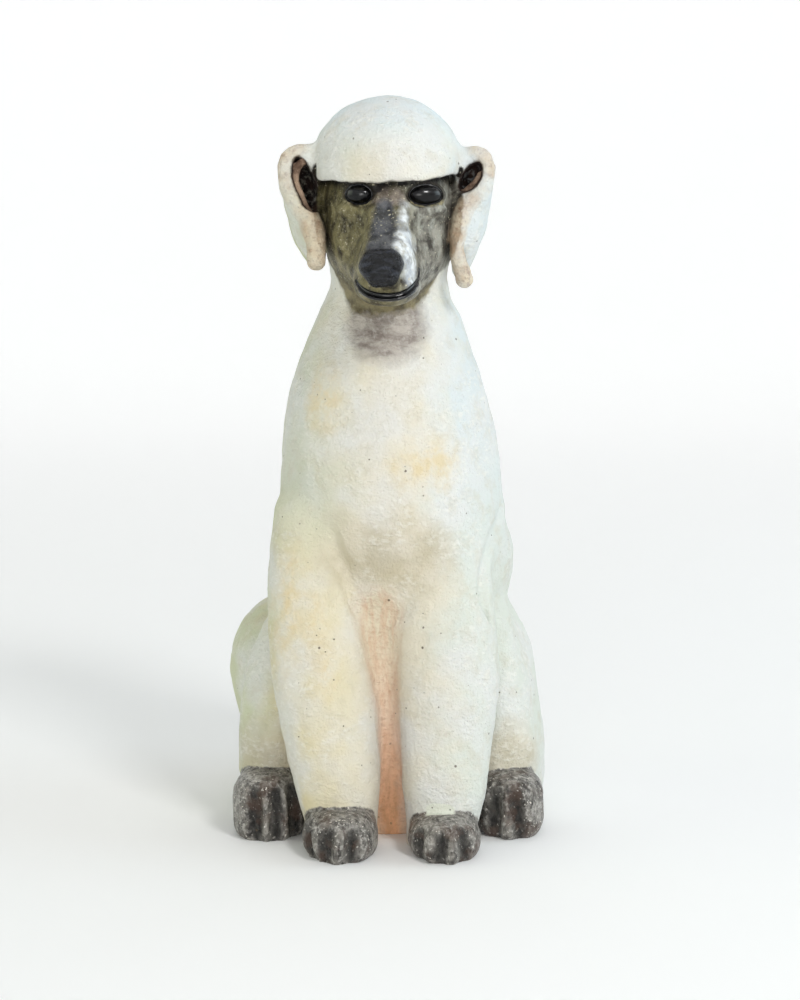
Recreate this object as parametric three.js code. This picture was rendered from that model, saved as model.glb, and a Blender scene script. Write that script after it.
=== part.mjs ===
// A seated dog, hand-built in one piece of fired clay and standing on its own flat underside.
// Millimetres, +Z up, floor at z = 0. The dog faces -Y, so its left side is +X.
//
// The form is a field: a function of a point that is below zero inside the clay and grows
// with distance outside it. Rounded forms are joined in the field with soft edges, creases
// and hollows are cut from it, and its zero surface is turned into one closed mesh.

import * as THREE from 'three';

// Trunk: oval level sections from the floor to inside the head.
const TRUNK = [
  { height: 0, halfWidth: 55, x: 0, front: -37, back: 92 },
  { height: 60, halfWidth: 57, x: 0.5, front: -45, back: 92 },
  { height: 108, halfWidth: 58, x: 2, front: -46, back: 80.5 },
  { height: 130, halfWidth: 59, x: 3.8, front: -49, back: 72.5 },
  { height: 150, halfWidth: 56.2, x: 2.2, front: -56, back: 64 },
  { height: 190, halfWidth: 52.5, x: 1, front: -55, back: 50 },
  { height: 220, halfWidth: 45.8, x: 0, front: -50, back: 41 },
  { height: 250, halfWidth: 34.6, x: 0.4, front: -43, back: 34 },
  { height: 266, halfWidth: 27.6, x: 0.2, front: -39, back: 30 },
  { height: 284, halfWidth: 24, x: 0, front: -36, back: 27 },
  { height: 305, halfWidth: 23, x: 0, front: -34, back: 24 },
];
const CHEST = { at: [1.5, -20, 167], radii: [39, 37.5, 56], turn: [-4, 0, 0] };

// Forelegs: round level sections from inside the paw to the shoulder.
const RIGHT_FORELEG = [
  { height: 8, x: -22.2, y: -51, radius: 17 },
  { height: 30, x: -24.2, y: -48.6, radius: 20.8 },
  { height: 52, x: -27.2, y: -46, radius: 23.4 },
  { height: 75, x: -30.2, y: -43, radius: 24.8 },
  { height: 98, x: -33.2, y: -39, radius: 24 },
  { height: 125, x: -35, y: -33, radius: 22.2 },
  { height: 165, x: -35, y: -22, radius: 19 },
];
const LEFT_FORELEG = [
  { height: 8, x: 26.2, y: -51, radius: 17 },
  { height: 30, x: 27.6, y: -48.6, radius: 20.6 },
  { height: 52, x: 28.2, y: -46, radius: 22.2 },
  { height: 75, x: 28.6, y: -43, radius: 24.5 },
  { height: 98, x: 27.4, y: -39, radius: 24.8 },
  { height: 125, x: 27.5, y: -33, radius: 23 },
  { height: 165, x: 29, y: -22, radius: 19 },
];

// Hind legs: a haunch over a rump that rests on the floor, with the shin in front of both.
const RIGHT_HIND = {
  haunch: { at: [-53.5, 30, 74], radii: [26.6, 43, 27], turn: [22, 0, -3] },
  rump: { at: [-46, 30, 24], radii: [26, 55, 40], turn: [-8, 0, 0] },
  shin: [[-55, -14, 30, 18.8], [-54.6, -14, 60, 18.2], [-51, -10, 80, 17], [-45, -4, 100, 13]],
  crease: 2,
};
const LEFT_HIND = {
  haunch: { at: [49, 27, 68], radii: [25, 50, 38], turn: [15, 0, 5] },
  rump: { at: [54, 25, 20], radii: [25.5, 56, 34], turn: [0, 0, 0] },
  shin: [[54.4, -12, 30, 17.8], [51, -8, 68, 16.8], [46, -4, 98, 15]],
  crease: 4,
};
const TAIL = [[0, 80, 30, 13], [8, 87, 17, 11.5], [26, 89, 10.5, 10], [44, 82, 8, 8]];

// Creases in the chest where the forelegs leave it, as x, y, z and radius.
const CREASES = [
  [[-25, -50.5, 150, 0.6], [-23.4, -51, 143, 1.6], [-19.4, -50, 127, 1.8], [-15, -49, 112, 0.8]],
  [[56.6, -2, 161, 0.8], [55.2, -16, 152, 2.4], [48.2, -38, 139, 2.6], [45.2, -48.6, 122, 2],
    [47, -46, 108, 0.8]],
];

// Paws stand on the floor. Each groove between toes runs from a place across the front of
// the paw near its top to another at the floor: a wide valley with a narrow line in it.
const RIGHT_FORE_TOES = [[-16.4, -14], [-5, -8], [6.9, 5.6]];
const LEFT_FORE_TOES = [[-13.4, -13.2], [-2, -3], [8.8, 9.8]];
const RIGHT_HIND_TOES = [[-4.6, -4.2], [5.6, 5.4], [13.6, 14.4]];
const LEFT_HIND_TOES = [[-9.4, -9.8], [0.2, 3.6]];
const PAWS = [
  { at: [-22.6, -66, 0], width: 36, length: 50, height: 21.5, turn: 0, grooves: RIGHT_FORE_TOES },
  { at: [27.4, -66, 0], width: 34.8, length: 50, height: 19.5, turn: 0, grooves: LEFT_FORE_TOES },
  { at: [-57.5, -30, 0], width: 36.5, length: 48, height: 31.5, turn: -4, grooves: RIGHT_HIND_TOES },
  { at: [59.5, -28, 0], width: 34, length: 44, height: 30, turn: 5, grooves: LEFT_HIND_TOES },
];
const TOE_VALLEY = { radius: 3.4, out: 0.9 };
const TOE_LINE = { radius: 1.2, out: -0.7 };

// Head: skull, cheeks drawn forward into the muzzle, two edges of a flat bridge, and a cap of
// hair ending in a brow line.
const SKULL = { at: [0.6, -16, 300], radii: [30.5, 42, 44], turn: [0, 0, 0] };
const CHEEKS = { from: [0.6, -22, 288], to: [-0.4, -69, 276.5], radii: [29, 15] };
const BRIDGE = [
  { from: [-4.6, -51, 303], to: [-7.2, -80, 279.5], radii: [6.4, 5] },
  { from: [7.2, -51, 303], to: [3.6, -80, 279.5], radii: [6.4, 5] },
];
const CAP = { at: [0, -14, 319.5], radii: [36.6, 47, 36], turn: [0, 0, 0] };
const BROW = { height: 314.4, y: -60, slope: [0.04, 0.09] };
const BROW_WAVES = [
  { height: 0.45, rate: 0.23, start: 1 },
  { height: 0.2, rate: 0.67, start: 0.4 },
];
const NAPE = { y: -10, drop: 1.3 };
const CHIN = { at: [0.2, -69, 267.6], radii: [15.2, 17.5, 9], turn: [0, 0, 0] };

// Hollows between the muzzle and the cheeks, and a swelling below each eye.
const FACE_HOLLOWS = [
  { at: [-20.5, -67, 290], radii: [8, 15, 14], turn: [0, 8, 0] },
  { at: [21.5, -66, 292], radii: [8, 15, 13], turn: [0, -8, 0] },
];
const POUCHES = [
  { at: [-15.5, -48.6, 302.4], radii: [8.6, 5, 3.6], turn: [0, 0, -17] },
  { at: [18.6, -47.6, 302.2], radii: [9.4, 5, 3.6], turn: [0, 0, 17] },
];

// Nose: narrow on top, widest a third of the way down, and rounded below.
const NOSE_TOP = { from: [-6.2, -85.4, 281.6], to: [1.4, -85.4, 281.6], radii: [3.9, 3.9] };
const NOSE_MIDDLE = { from: [-7.4, -86, 277.6], to: [2.4, -86, 278.4], radii: [5.4, 5.2] };
const NOSE_FOOT = { from: [-4.2, -87, 272.6], to: [0.6, -87, 272.8], radii: [4.2, 4.2] };
const NOSTRILS = [
  { at: [-8.6, -92.4, 275.4], radii: [2.4, 2.2, 1.1], turn: [0, -32, 0] },
  { at: [3.8, -92, 275.8], radii: [2.4, 2.2, 1.1], turn: [0, 32, 0] },
];

// Eyes: balls pressed into cut sockets, each inside a raised rim.
const EYES = [
  { at: [-12.6, -50.2, 309.2], radii: [6.4, 4.7, 4.7], turn: -15 },
  { at: [17.4, -48.6, 309], radii: [8.2, 4.8, 4.7], turn: 17 },
];
const EYE_RIM = 0.9;

// Mouth: a line cut above a rolled lower lip, as x, y, z and its share of the full width.
const MOUTH = [
  [-14, -75, 270.8, 0.35], [-11.4, -80, 267.4, 0.8], [-6.6, -84, 265.2, 1], [1, -85.4, 264.3, 1],
  [8, -83.4, 265.6, 1], [12.4, -79, 268.6, 0.9], [14.2, -73, 272, 0.4], [14.8, -69, 276, 0.2],
];
const LIP = { radius: 1.25, forward: -0.8, up: -1.4 };
const MOUTH_CUT = { radius: 1.1, forward: 0.1, up: 0 };

// Ears: a hanging flap with a rolled front edge round a hollow, and a fold inside it.
const RIGHT_EAR = {
  flap: { at: [-41.6, -13, 302.5], radii: [7.2, 20, 28], turn: [0, -12, 0] },
  crest: { at: [-39.5, -19, 317], radii: [8.6, 14, 13], turn: [0, -8, 0] },
  root: { at: [-31, -2, 311], radii: [12.5, 15, 18], turn: [0, -10, 0] },
  fold: { at: [-33.6, -20, 293], radii: [5.6, 13, 11], turn: [0, 0, 0] },
  edge: [
    [-33, -24, 327, 2.6], [-40.5, -27, 329.2, 2.4], [-46.6, -29, 326.5, 2.8], [-47.8, -30, 319, 3.4],
    [-45.2, -31, 310.5, 3.6], [-39.4, -33, 303, 4], [-35.4, -35, 295, 4.2], [-33.2, -36, 286, 4.2],
    [-33.4, -36, 277.6, 4.3],
  ],
  hollow: { at: [-38.6, -31, 313.5], radii: [5.2, 17, 13.8], turn: [0, -17, 0] },
  inner: [
    [-37.6, -28.4, 325.4, 1], [-42.6, -29, 321.8, 1.6], [-43.4, -29.4, 315, 1.8],
    [-40.6, -29.6, 307, 1.7], [-36.4, -30, 300.5, 0.9],
  ],
};
const LEFT_EAR = {
  flap: { at: [41, -13, 299], radii: [7.2, 20, 31], turn: [0, 12, 0] },
  crest: { at: [39.5, -19, 316], radii: [8.2, 14, 12.6], turn: [0, 8, 0] },
  root: { at: [31, -2, 311], radii: [12.5, 15, 18], turn: [0, 10, 0] },
  fold: { at: [33, -19, 297], radii: [7, 14, 16], turn: [0, 0, 0] },
  edge: [
    [36, -24, 326, 2.8], [41.5, -27, 328.4, 2.6], [46, -29, 326, 3], [46.8, -30, 319, 3.2],
    [44.4, -31, 312, 3.4], [38.8, -33, 305.5, 3.6], [34.6, -35, 298.5, 3.5], [32.8, -36, 290, 3.2],
    [32.8, -36, 281, 3.3], [35.4, -36, 273, 4], [36.4, -35, 269.5, 4.3],
  ],
  hollow: { at: [39.4, -31, 317], radii: [4.4, 16, 8.4], turn: [0, 32, 0] },
  inner: [
    [35.8, -26.6, 309.4, 1.2], [38.6, -27, 311, 1.9], [41.6, -27, 314.4, 1.6], [43.6, -27, 318.6, 0.7],
  ],
};

// Mesh: sampling step, box sampled, triangles kept, and how much closer fine parts are followed.
const STEP = 1.8;
const LOW = [-86, -102, -4];
const HIGH = [86, 106, 362];
const TRIANGLES = 8800;
const FINE_AREAS = [
  { at: [0, -68, 290], radius: 42, weight: 9 },
  { at: [-40, -28, 300], radius: 32, weight: 3 },
  { at: [40, -28, 300], radius: 32, weight: 3 },
  { at: [-22, -80, 12], radius: 28, weight: 4 },
  { at: [26, -80, 12], radius: 28, weight: 4 },
  { at: [-58, -44, 16], radius: 26, weight: 4 },
  { at: [60, -40, 16], radius: 26, weight: 4 },
];

// Smaller of two distances, rounded over a width k where they meet.
function blend(a, b, k) {
  const near = Math.max(k - Math.abs(a - b), 0) / k;
  return Math.min(a, b) - near * near * k * 0.25;
}

function join(k, first, ...others) {
  return (x, y, z) => {
    let d = first(x, y, z);
    for (const form of others) d = blend(d, form(x, y, z), k);
    return d;
  };
}

function cut(k, form, ...tools) {
  return (x, y, z) => {
    let d = form(x, y, z);
    for (const tool of tools) d = -blend(-d, tool(x, y, z), k);
    return d;
  };
}

// Point in the axes of a form that stands at a place and is turned, in degrees about x, y and z.
function local(at, turn) {
  const angles = new THREE.Euler(...turn.map(THREE.MathUtils.degToRad), 'ZYX');
  const m = new THREE.Matrix4().makeRotationFromEuler(angles).elements;
  return (x, y, z, out) => {
    const dx = x - at[0];
    const dy = y - at[1];
    const dz = z - at[2];
    out[0] = m[0] * dx + m[1] * dy + m[2] * dz;
    out[1] = m[4] * dx + m[5] * dy + m[6] * dz;
    out[2] = m[8] * dx + m[9] * dy + m[10] * dz;
    return out;
  };
}

function ellipsoid({ at, radii, turn }) {
  const toLocal = local(at, turn);
  const [a, b, c] = radii;
  const q = [0, 0, 0];
  return (x, y, z) => {
    toLocal(x, y, z, q);
    const near = Math.hypot(q[0] / a, q[1] / b, q[2] / c);
    const slope = Math.hypot(q[0] / (a * a), q[1] / (b * b), q[2] / (c * c));
    return near * (near - 1) / Math.max(slope, 1e-6);
  };
}

// Rounded bar with a radius at each end.
function bar({ from, to, radii }) {
  const [ax, ay, az] = from;
  const dx = to[0] - ax;
  const dy = to[1] - ay;
  const dz = to[2] - az;
  const length2 = dx * dx + dy * dy + dz * dz;
  return (x, y, z) => {
    const along = ((x - ax) * dx + (y - ay) * dy + (z - az) * dz) / length2;
    const t = Math.min(Math.max(along, 0), 1);
    const gap = Math.hypot(x - ax - t * dx, y - ay - t * dy, z - az - t * dz);
    return gap - radii[0] - (radii[1] - radii[0]) * t;
  };
}

// Points along the smooth curve through knots with any number of columns.
function curve(knots, pieces) {
  const beyond = (end, next) => end.map((value, i) => 2 * value - next[i]);
  const row = [beyond(knots[0], knots[1]), ...knots, beyond(knots.at(-1), knots.at(-2))];
  const points = [];
  for (let n = 0; n <= pieces; n++) {
    const t = (n / pieces) * (knots.length - 1);
    const i = Math.min(Math.floor(t), knots.length - 2);
    const f = t - i;
    const [a, b, c, d] = row.slice(i, i + 4);
    points.push(b.map((_, k) => 0.5 * (2 * b[k] + (c[k] - a[k]) * f
      + (2 * a[k] - 5 * b[k] + 4 * c[k] - d[k]) * f * f
      + (3 * b[k] - a[k] - 3 * c[k] + d[k]) * f * f * f)));
  }
  return points;
}

// Tube along the curve through knots of x, y, z and radius.
function roll(knots, pieces) {
  const points = curve(knots, pieces);
  const bars = points.slice(1).map((end, i) => bar({
    from: points[i].slice(0, 3),
    to: end.slice(0, 3),
    radii: [points[i][3], end[3]],
  }));
  return (x, y, z) => {
    let d = Infinity;
    for (const form of bars) d = Math.min(d, form(x, y, z));
    return d;
  };
}

// Values at a height, smooth through a list of level sections.
function sections(list, names) {
  const last = list.length - 1;
  const slope = (i, name) => {
    const below = list[Math.max(i - 1, 0)];
    const above = list[Math.min(i + 1, last)];
    return (above[name] - below[name]) / (above.height - below.height);
  };
  return (z) => {
    const height = Math.min(Math.max(z, list[0].height), list[last].height);
    let i = 0;
    while (i < last - 1 && height >= list[i + 1].height) i++;
    const span = list[i + 1].height - list[i].height;
    const f = (height - list[i].height) / span;
    return names.map((name) => ((2 * f - 3) * f * f + 1) * list[i][name]
      + ((f - 2) * f + 1) * f * slope(i, name) * span
      + (3 - 2 * f) * f * f * list[i + 1][name]
      + (f - 1) * f * f * slope(i + 1, name) * span);
  };
}

// Distance to an upright wall with an oval plan.
function oval(x, y, halfWidth, halfDepth) {
  const near = Math.hypot(x / halfWidth, y / halfDepth);
  const slope = Math.hypot(x / (halfWidth * halfWidth), y / (halfDepth * halfDepth));
  return near * (near - 1) / Math.max(slope, 1e-6);
}

function trunk(list) {
  const at = sections(list, ['halfWidth', 'x', 'front', 'back']);
  const top = list.at(-1).height;
  return (x, y, z) => {
    const [halfWidth, middle, front, back] = at(z);
    const wall = oval(x - middle, y - (front + back) / 2, halfWidth, (back - front) / 2);
    return -blend(-wall * 0.95, top - z, 6);
  };
}

function foreleg(list) {
  const at = sections(list, ['x', 'y', 'radius']);
  const top = list.at(-1).height;
  return (x, y, z) => {
    const [middle, depth, radius] = at(z);
    return -blend(radius - Math.hypot(x - middle, y - depth), top - z, 8);
  };
}

function hindLeg({ haunch, rump, shin, crease }) {
  return join(crease, join(26, ellipsoid(haunch), ellipsoid(rump)), roll(shin, 6));
}

// Bars down the front of a paw, one along each groove, in the axes of the paw.
function betweenToes({ width, length, height, grooves }, { radius, out }) {
  const front = (x) => -length / 2 * Math.sqrt(1 - (2 * x / width) ** 2) - out;
  return grooves.map(([top, foot]) => bar({
    from: [top, front(top) + 1, height - 7],
    to: [foot, front(foot) + 1.5, 1],
    radii: [radius, radius],
  }));
}

// Drum-shaped foot, rounded on top, tucked in at the floor and grooved between the toes.
function paw(foot) {
  const { at, width, length, height, turn } = foot;
  const toLocal = local(at, [0, 0, turn]);
  const valleys = betweenToes(foot, TOE_VALLEY);
  const lines = betweenToes(foot, TOE_LINE);
  const q = [0, 0, 0];
  return (x, y, z) => {
    toLocal(x, y, z, q);
    const [across, forward, up] = q;
    const drum = -blend(-oval(across, forward, width / 2, length / 2), height - up, 14);
    let d = -blend(-drum, up + 2, 10);
    for (const valley of valleys) d = -blend(-d, valley(across, forward, up), 3);
    for (const line of lines) d = -blend(-d, line(across, forward, up), 1);
    return d;
  };
}

function ear({ flap, crest, root, fold, edge }) {
  const shell = join(5, ellipsoid(flap), ellipsoid(crest), ellipsoid(root), ellipsoid(fold));
  return join(7, shell, roll(edge, 2 * edge.length - 3));
}

// Head with one eye: the socket is cut, then the rim and the ball are set in it.
function withEye(head, { at, radii, turn }) {
  const [width, depth, height] = radii;
  const angle = THREE.MathUtils.degToRad(turn);
  const rim = [];
  for (let n = 0; n <= 12; n++) {
    const round = (2 * Math.PI * n) / 12;
    const across = (width + 1) * Math.cos(round);
    const x = at[0] + across * Math.cos(angle) + 0.6 * Math.sin(angle);
    const y = at[1] + across * Math.sin(angle) - 0.6 * Math.cos(angle);
    rim.push([x, y, at[2] + (height + 0.8) * Math.sin(round), EYE_RIM]);
  }
  const socket = ellipsoid({
    at: [at[0], at[1] - 5.4, at[2]],
    radii: [width + 1.3, 6.2, height + 1],
    turn: [0, 0, turn],
  });
  const ball = ellipsoid({ at, radii: [width, depth, height], turn: [0, 0, turn] });
  return join(0.3, join(2, cut(1.5, head, socket), roll(rim, 24)), ball);
}

// Height over the brow line, which waves a little, rises to the sides and drops to the nape
// behind the ears.
function overBrow(x, y, z) {
  let line = BROW.height + BROW.slope[0] * x + BROW.slope[1] * (y - BROW.y);
  for (const { height, rate, start } of BROW_WAVES) line += height * Math.sin(rate * x + start);
  return z - line + NAPE.drop * Math.max(y - NAPE.y, 0);
}

function cap() {
  const crown = ellipsoid(CAP);
  return (x, y, z) => -blend(-crown(x, y, z), overBrow(x, y, z), 2.4);
}

function alongMouth({ radius, forward, up }) {
  return roll(MOUTH.map(([x, y, z, share]) => [x, y - forward, z + up * share, radius * share]), 16);
}

function nose() {
  const form = join(4, join(3, bar(NOSE_TOP), bar(NOSE_MIDDLE)), bar(NOSE_FOOT));
  return cut(1, form, ...NOSTRILS.map(ellipsoid));
}

// Skull, muzzle with a flat bridge, hollows beside it and swellings below the eyes.
function face() {
  const muzzle = join(6, bar(CHEEKS), join(5, ...BRIDGE.map(bar)));
  const hollowed = cut(9, join(8, ellipsoid(SKULL), muzzle), ...FACE_HOLLOWS.map(ellipsoid));
  return join(4, hollowed, ...POUCHES.map(ellipsoid));
}

function head() {
  const eared = join(1.5, face(), join(6, cap(), ear(RIGHT_EAR), ear(LEFT_EAR)));
  const hollowed = cut(2, eared, ellipsoid(RIGHT_EAR.hollow), ellipsoid(LEFT_EAR.hollow));
  const folded = join(2, hollowed, roll(RIGHT_EAR.inner, 8), roll(LEFT_EAR.inner, 6));
  const seeing = EYES.reduce(withEye, folded);
  const nosed = join(4, join(0.8, seeing, nose()), ellipsoid(CHIN));
  return cut(0.8, join(1.5, nosed, alongMouth(LIP)), alongMouth(MOUTH_CUT));
}

function dog() {
  const ribs = join(10, trunk(TRUNK), ellipsoid(CHEST));
  const seated = join(5, join(8, ribs, hindLeg(RIGHT_HIND), hindLeg(LEFT_HIND)), roll(TAIL, 9));
  const standing = join(6, seated, foreleg(RIGHT_FORELEG), foreleg(LEFT_FORELEG));
  const creased = cut(5, join(10, standing, head()), ...CREASES.map((line) => roll(line, 8)));
  const whole = join(1.5, creased, ...PAWS.map(paw));
  return (x, y, z) => Math.max(whole(x, y, z), -z);
}

// Field values on a grid of points. A block far from the surface is filled with one value.
function sample(field) {
  const block = 6;
  const size = LOW.map((low, i) => Math.ceil((HIGH[i] - low) / STEP / block) * block);
  const [nx, ny, nz] = size;
  const values = new Float32Array(nx * ny * nz);
  const place = (axis, i) => LOW[axis] + (i + 0.5) * STEP;
  const reach = block * STEP * Math.sqrt(3);
  for (let bz = 0; bz < nz; bz += block) {
    for (let by = 0; by < ny; by += block) {
      for (let bx = 0; bx < nx; bx += block) {
        const half = block / 2;
        const middle = field(place(0, bx + half), place(1, by + half), place(2, bz + half));
        const far = Math.abs(middle) > reach;
        for (let k = bz; k < bz + block; k++) {
          for (let j = by; j < by + block; j++) {
            for (let i = bx; i < bx + block; i++) {
              values[(k * ny + j) * nx + i] = far ? middle : field(place(0, i), place(1, j), place(2, k));
            }
          }
        }
      }
    }
  }
  return { size, values, place };
}

// Corners of a grid cell, counted along x first, then y, then z.
const CORNERS = [0, 1, 2, 3, 4, 5, 6, 7].map((c) => [c & 1, (c >> 1) & 1, (c >> 2) & 1]);

// Two pieces of surface must not touch along an edge or at a corner of the mesh. They would
// where corners on a diagonal of a grid square or cube differ from all the others, so a corner
// of such a square or cube is filled.
function settle({ size, values }) {
  const [nx, ny, nz] = size;
  const cube = CORNERS.map(([a, b, c]) => a + b * nx + c * nx * ny);
  const squares = [[0, 1, 3, 2], [0, 2, 6, 4], [0, 1, 5, 4]];
  const inside = (i) => values[i] < 0;
  const fill = (places) => {
    const nearest = places.filter((i) => !inside(i)).reduce((a, b) => (values[a] < values[b] ? a : b));
    values[nearest] = -0.5 * values[nearest] - 1e-3;
  };
  let filled = true;
  while (filled) {
    filled = false;
    for (let cell = 0; cell < values.length - cube[7]; cell++) {
      for (const square of squares) {
        const [a, b, c, d] = square.map((corner) => cell + cube[corner]);
        if (inside(a) !== inside(c) || inside(b) !== inside(d) || inside(a) === inside(b)) continue;
        fill([a, b, c, d]);
        filled = true;
      }
      for (let corner = 0; corner < 4; corner++) {
        const ends = [cell + cube[corner], cell + cube[7 - corner]];
        const others = cube.map((step) => cell + step).filter((i) => !ends.includes(i));
        if (inside(ends[0]) !== inside(ends[1])) continue;
        if (others.some((i) => inside(i) === inside(ends[0]))) continue;
        fill(inside(ends[0]) ? others : ends);
        filled = true;
      }
    }
  }
}

// Middle of the places where the edges of a grid cell cross the surface, from the values at its
// corners, or null where none does.
function middleOfCrossings(values) {
  const inside = values.filter((value) => value < 0).length;
  if (inside === 0 || inside === 8) return null;
  const sum = [0, 0, 0];
  let crossings = 0;
  for (let c = 0; c < 8; c++) {
    for (let axis = 0; axis < 3; axis++) {
      const other = c | (1 << axis);
      if (other === c || (values[c] < 0) === (values[other] < 0)) continue;
      const t = values[c] / (values[c] - values[other]);
      for (let m = 0; m < 3; m++) sum[m] += CORNERS[c][m] + (m === axis ? t : 0);
      crossings++;
    }
  }
  return sum.map((total) => total / crossings);
}

// One vertex in each grid cell that the surface passes through.
function netPoints({ size, values, place }) {
  const [nx, ny, nz] = size;
  const vertexOf = new Int32Array(values.length).fill(-1);
  const points = [];
  for (let k = 0; k < nz - 1; k++) {
    for (let j = 0; j < ny - 1; j++) {
      for (let i = 0; i < nx - 1; i++) {
        const cell = i + j * nx + k * nx * ny;
        const middle = middleOfCrossings(CORNERS.map(([a, b, c]) => values[cell + a + b * nx + c * nx * ny]));
        if (middle === null) continue;
        vertexOf[cell] = points.length;
        points.push([i, j, k].map((index, axis) => place(axis, index) + middle[axis] * STEP));
      }
    }
  }
  return { points, vertexOf };
}

// Mesh over the grid, with one square across each grid line that the surface crosses.
function netOver({ size, values, place }) {
  const { points, vertexOf } = netPoints({ size, values, place });
  const [nx, ny, nz] = size;
  const stride = [1, nx, nx * ny];
  const triangles = [];
  for (let k = 1; k < nz - 1; k++) {
    for (let j = 1; j < ny - 1; j++) {
      for (let i = 1; i < nx - 1; i++) {
        const cell = i + j * nx + k * nx * ny;
        for (let axis = 0; axis < 3; axis++) {
          const from = values[cell] < 0;
          if (from === (values[cell + stride[axis]] < 0)) continue;
          const u = stride[(axis + 1) % 3];
          const v = stride[(axis + 2) % 3];
          const square = [cell - u - v, cell - v, cell, cell - u].map((c) => vertexOf[c]);
          if (!from) square.reverse();
          triangles.push([square[0], square[1], square[2]], [square[0], square[2], square[3]]);
        }
      }
    }
  }
  return { points, triangles };
}

// Set of planes seen from one vertex: the ten numbers of a symmetric matrix that gives the sum
// of the squared distances from a point to the planes.
function addPlane(q, at, [a, b, c], d, weight) {
  const terms = [a * a, a * b, a * c, a * d, b * b, b * c, b * d, c * c, c * d, d * d];
  terms.forEach((term, i) => { q[at + i] += weight * term; });
}

function planeError(q, x, y, z) {
  return q[0] * x * x + q[4] * y * y + q[7] * z * z + q[9]
    + 2 * (q[1] * x * y + q[2] * x * z + q[5] * y * z + q[3] * x + q[6] * y + q[8] * z);
}

// Point where the planes come closest to meeting, or null where they leave it open.
function meetingPoint(q) {
  const [xx, xy, xz, xw, yy, yz, yw, zz, zw] = q;
  const c0 = yy * zz - yz * yz;
  const c1 = xz * yz - xy * zz;
  const c2 = xy * yz - xz * yy;
  const det = xx * c0 + xy * c1 + xz * c2;
  const scale = xx + yy + zz;
  if (Math.abs(det) < 1e-4 * scale * scale * scale) return null;
  const c4 = xx * zz - xz * xz;
  const c5 = xy * xz - xx * yz;
  const c8 = xx * yy - xy * xy;
  return [
    -(c0 * xw + c1 * yw + c2 * zw) / det,
    -(c1 * xw + c4 * yw + c5 * zw) / det,
    -(c2 * xw + c5 * yw + c8 * zw) / det,
  ];
}

const minus = (a, b) => [a[0] - b[0], a[1] - b[1], a[2] - b[2]];
const dot = (a, b) => a[0] * b[0] + a[1] * b[1] + a[2] * b[2];
const cross = (a, b) => [a[1] * b[2] - a[2] * b[1], a[2] * b[0] - a[0] * b[2], a[0] * b[1] - a[1] * b[0]];
const faceNormal = (a, b, c) => cross(minus(b, a), minus(c, a));

function weightAt(point) {
  const inside = FINE_AREAS.filter(({ at, radius }) => Math.hypot(...minus(point, at)) < radius);
  return Math.max(1, ...inside.map(({ weight }) => weight));
}

// Queue that always gives the entry with the least cost.
class Queue {
  entries = [];

  push(entry) {
    const list = this.entries;
    let i = list.length;
    while (i > 0) {
      const up = (i - 1) >> 1;
      if (list[up].cost <= entry.cost) break;
      list[i] = list[up];
      i = up;
    }
    list[i] = entry;
  }

  pop() {
    const list = this.entries;
    const first = list[0];
    const last = list.pop();
    if (list.length === 0) return first;
    let i = 0;
    for (;;) {
      let down = 2 * i + 1;
      if (down >= list.length) break;
      if (down + 1 < list.length && list[down + 1].cost < list[down].cost) down++;
      if (list[down].cost >= last.cost) break;
      list[i] = list[down];
      i = down;
    }
    list[i] = last;
    return first;
  }
}

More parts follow.
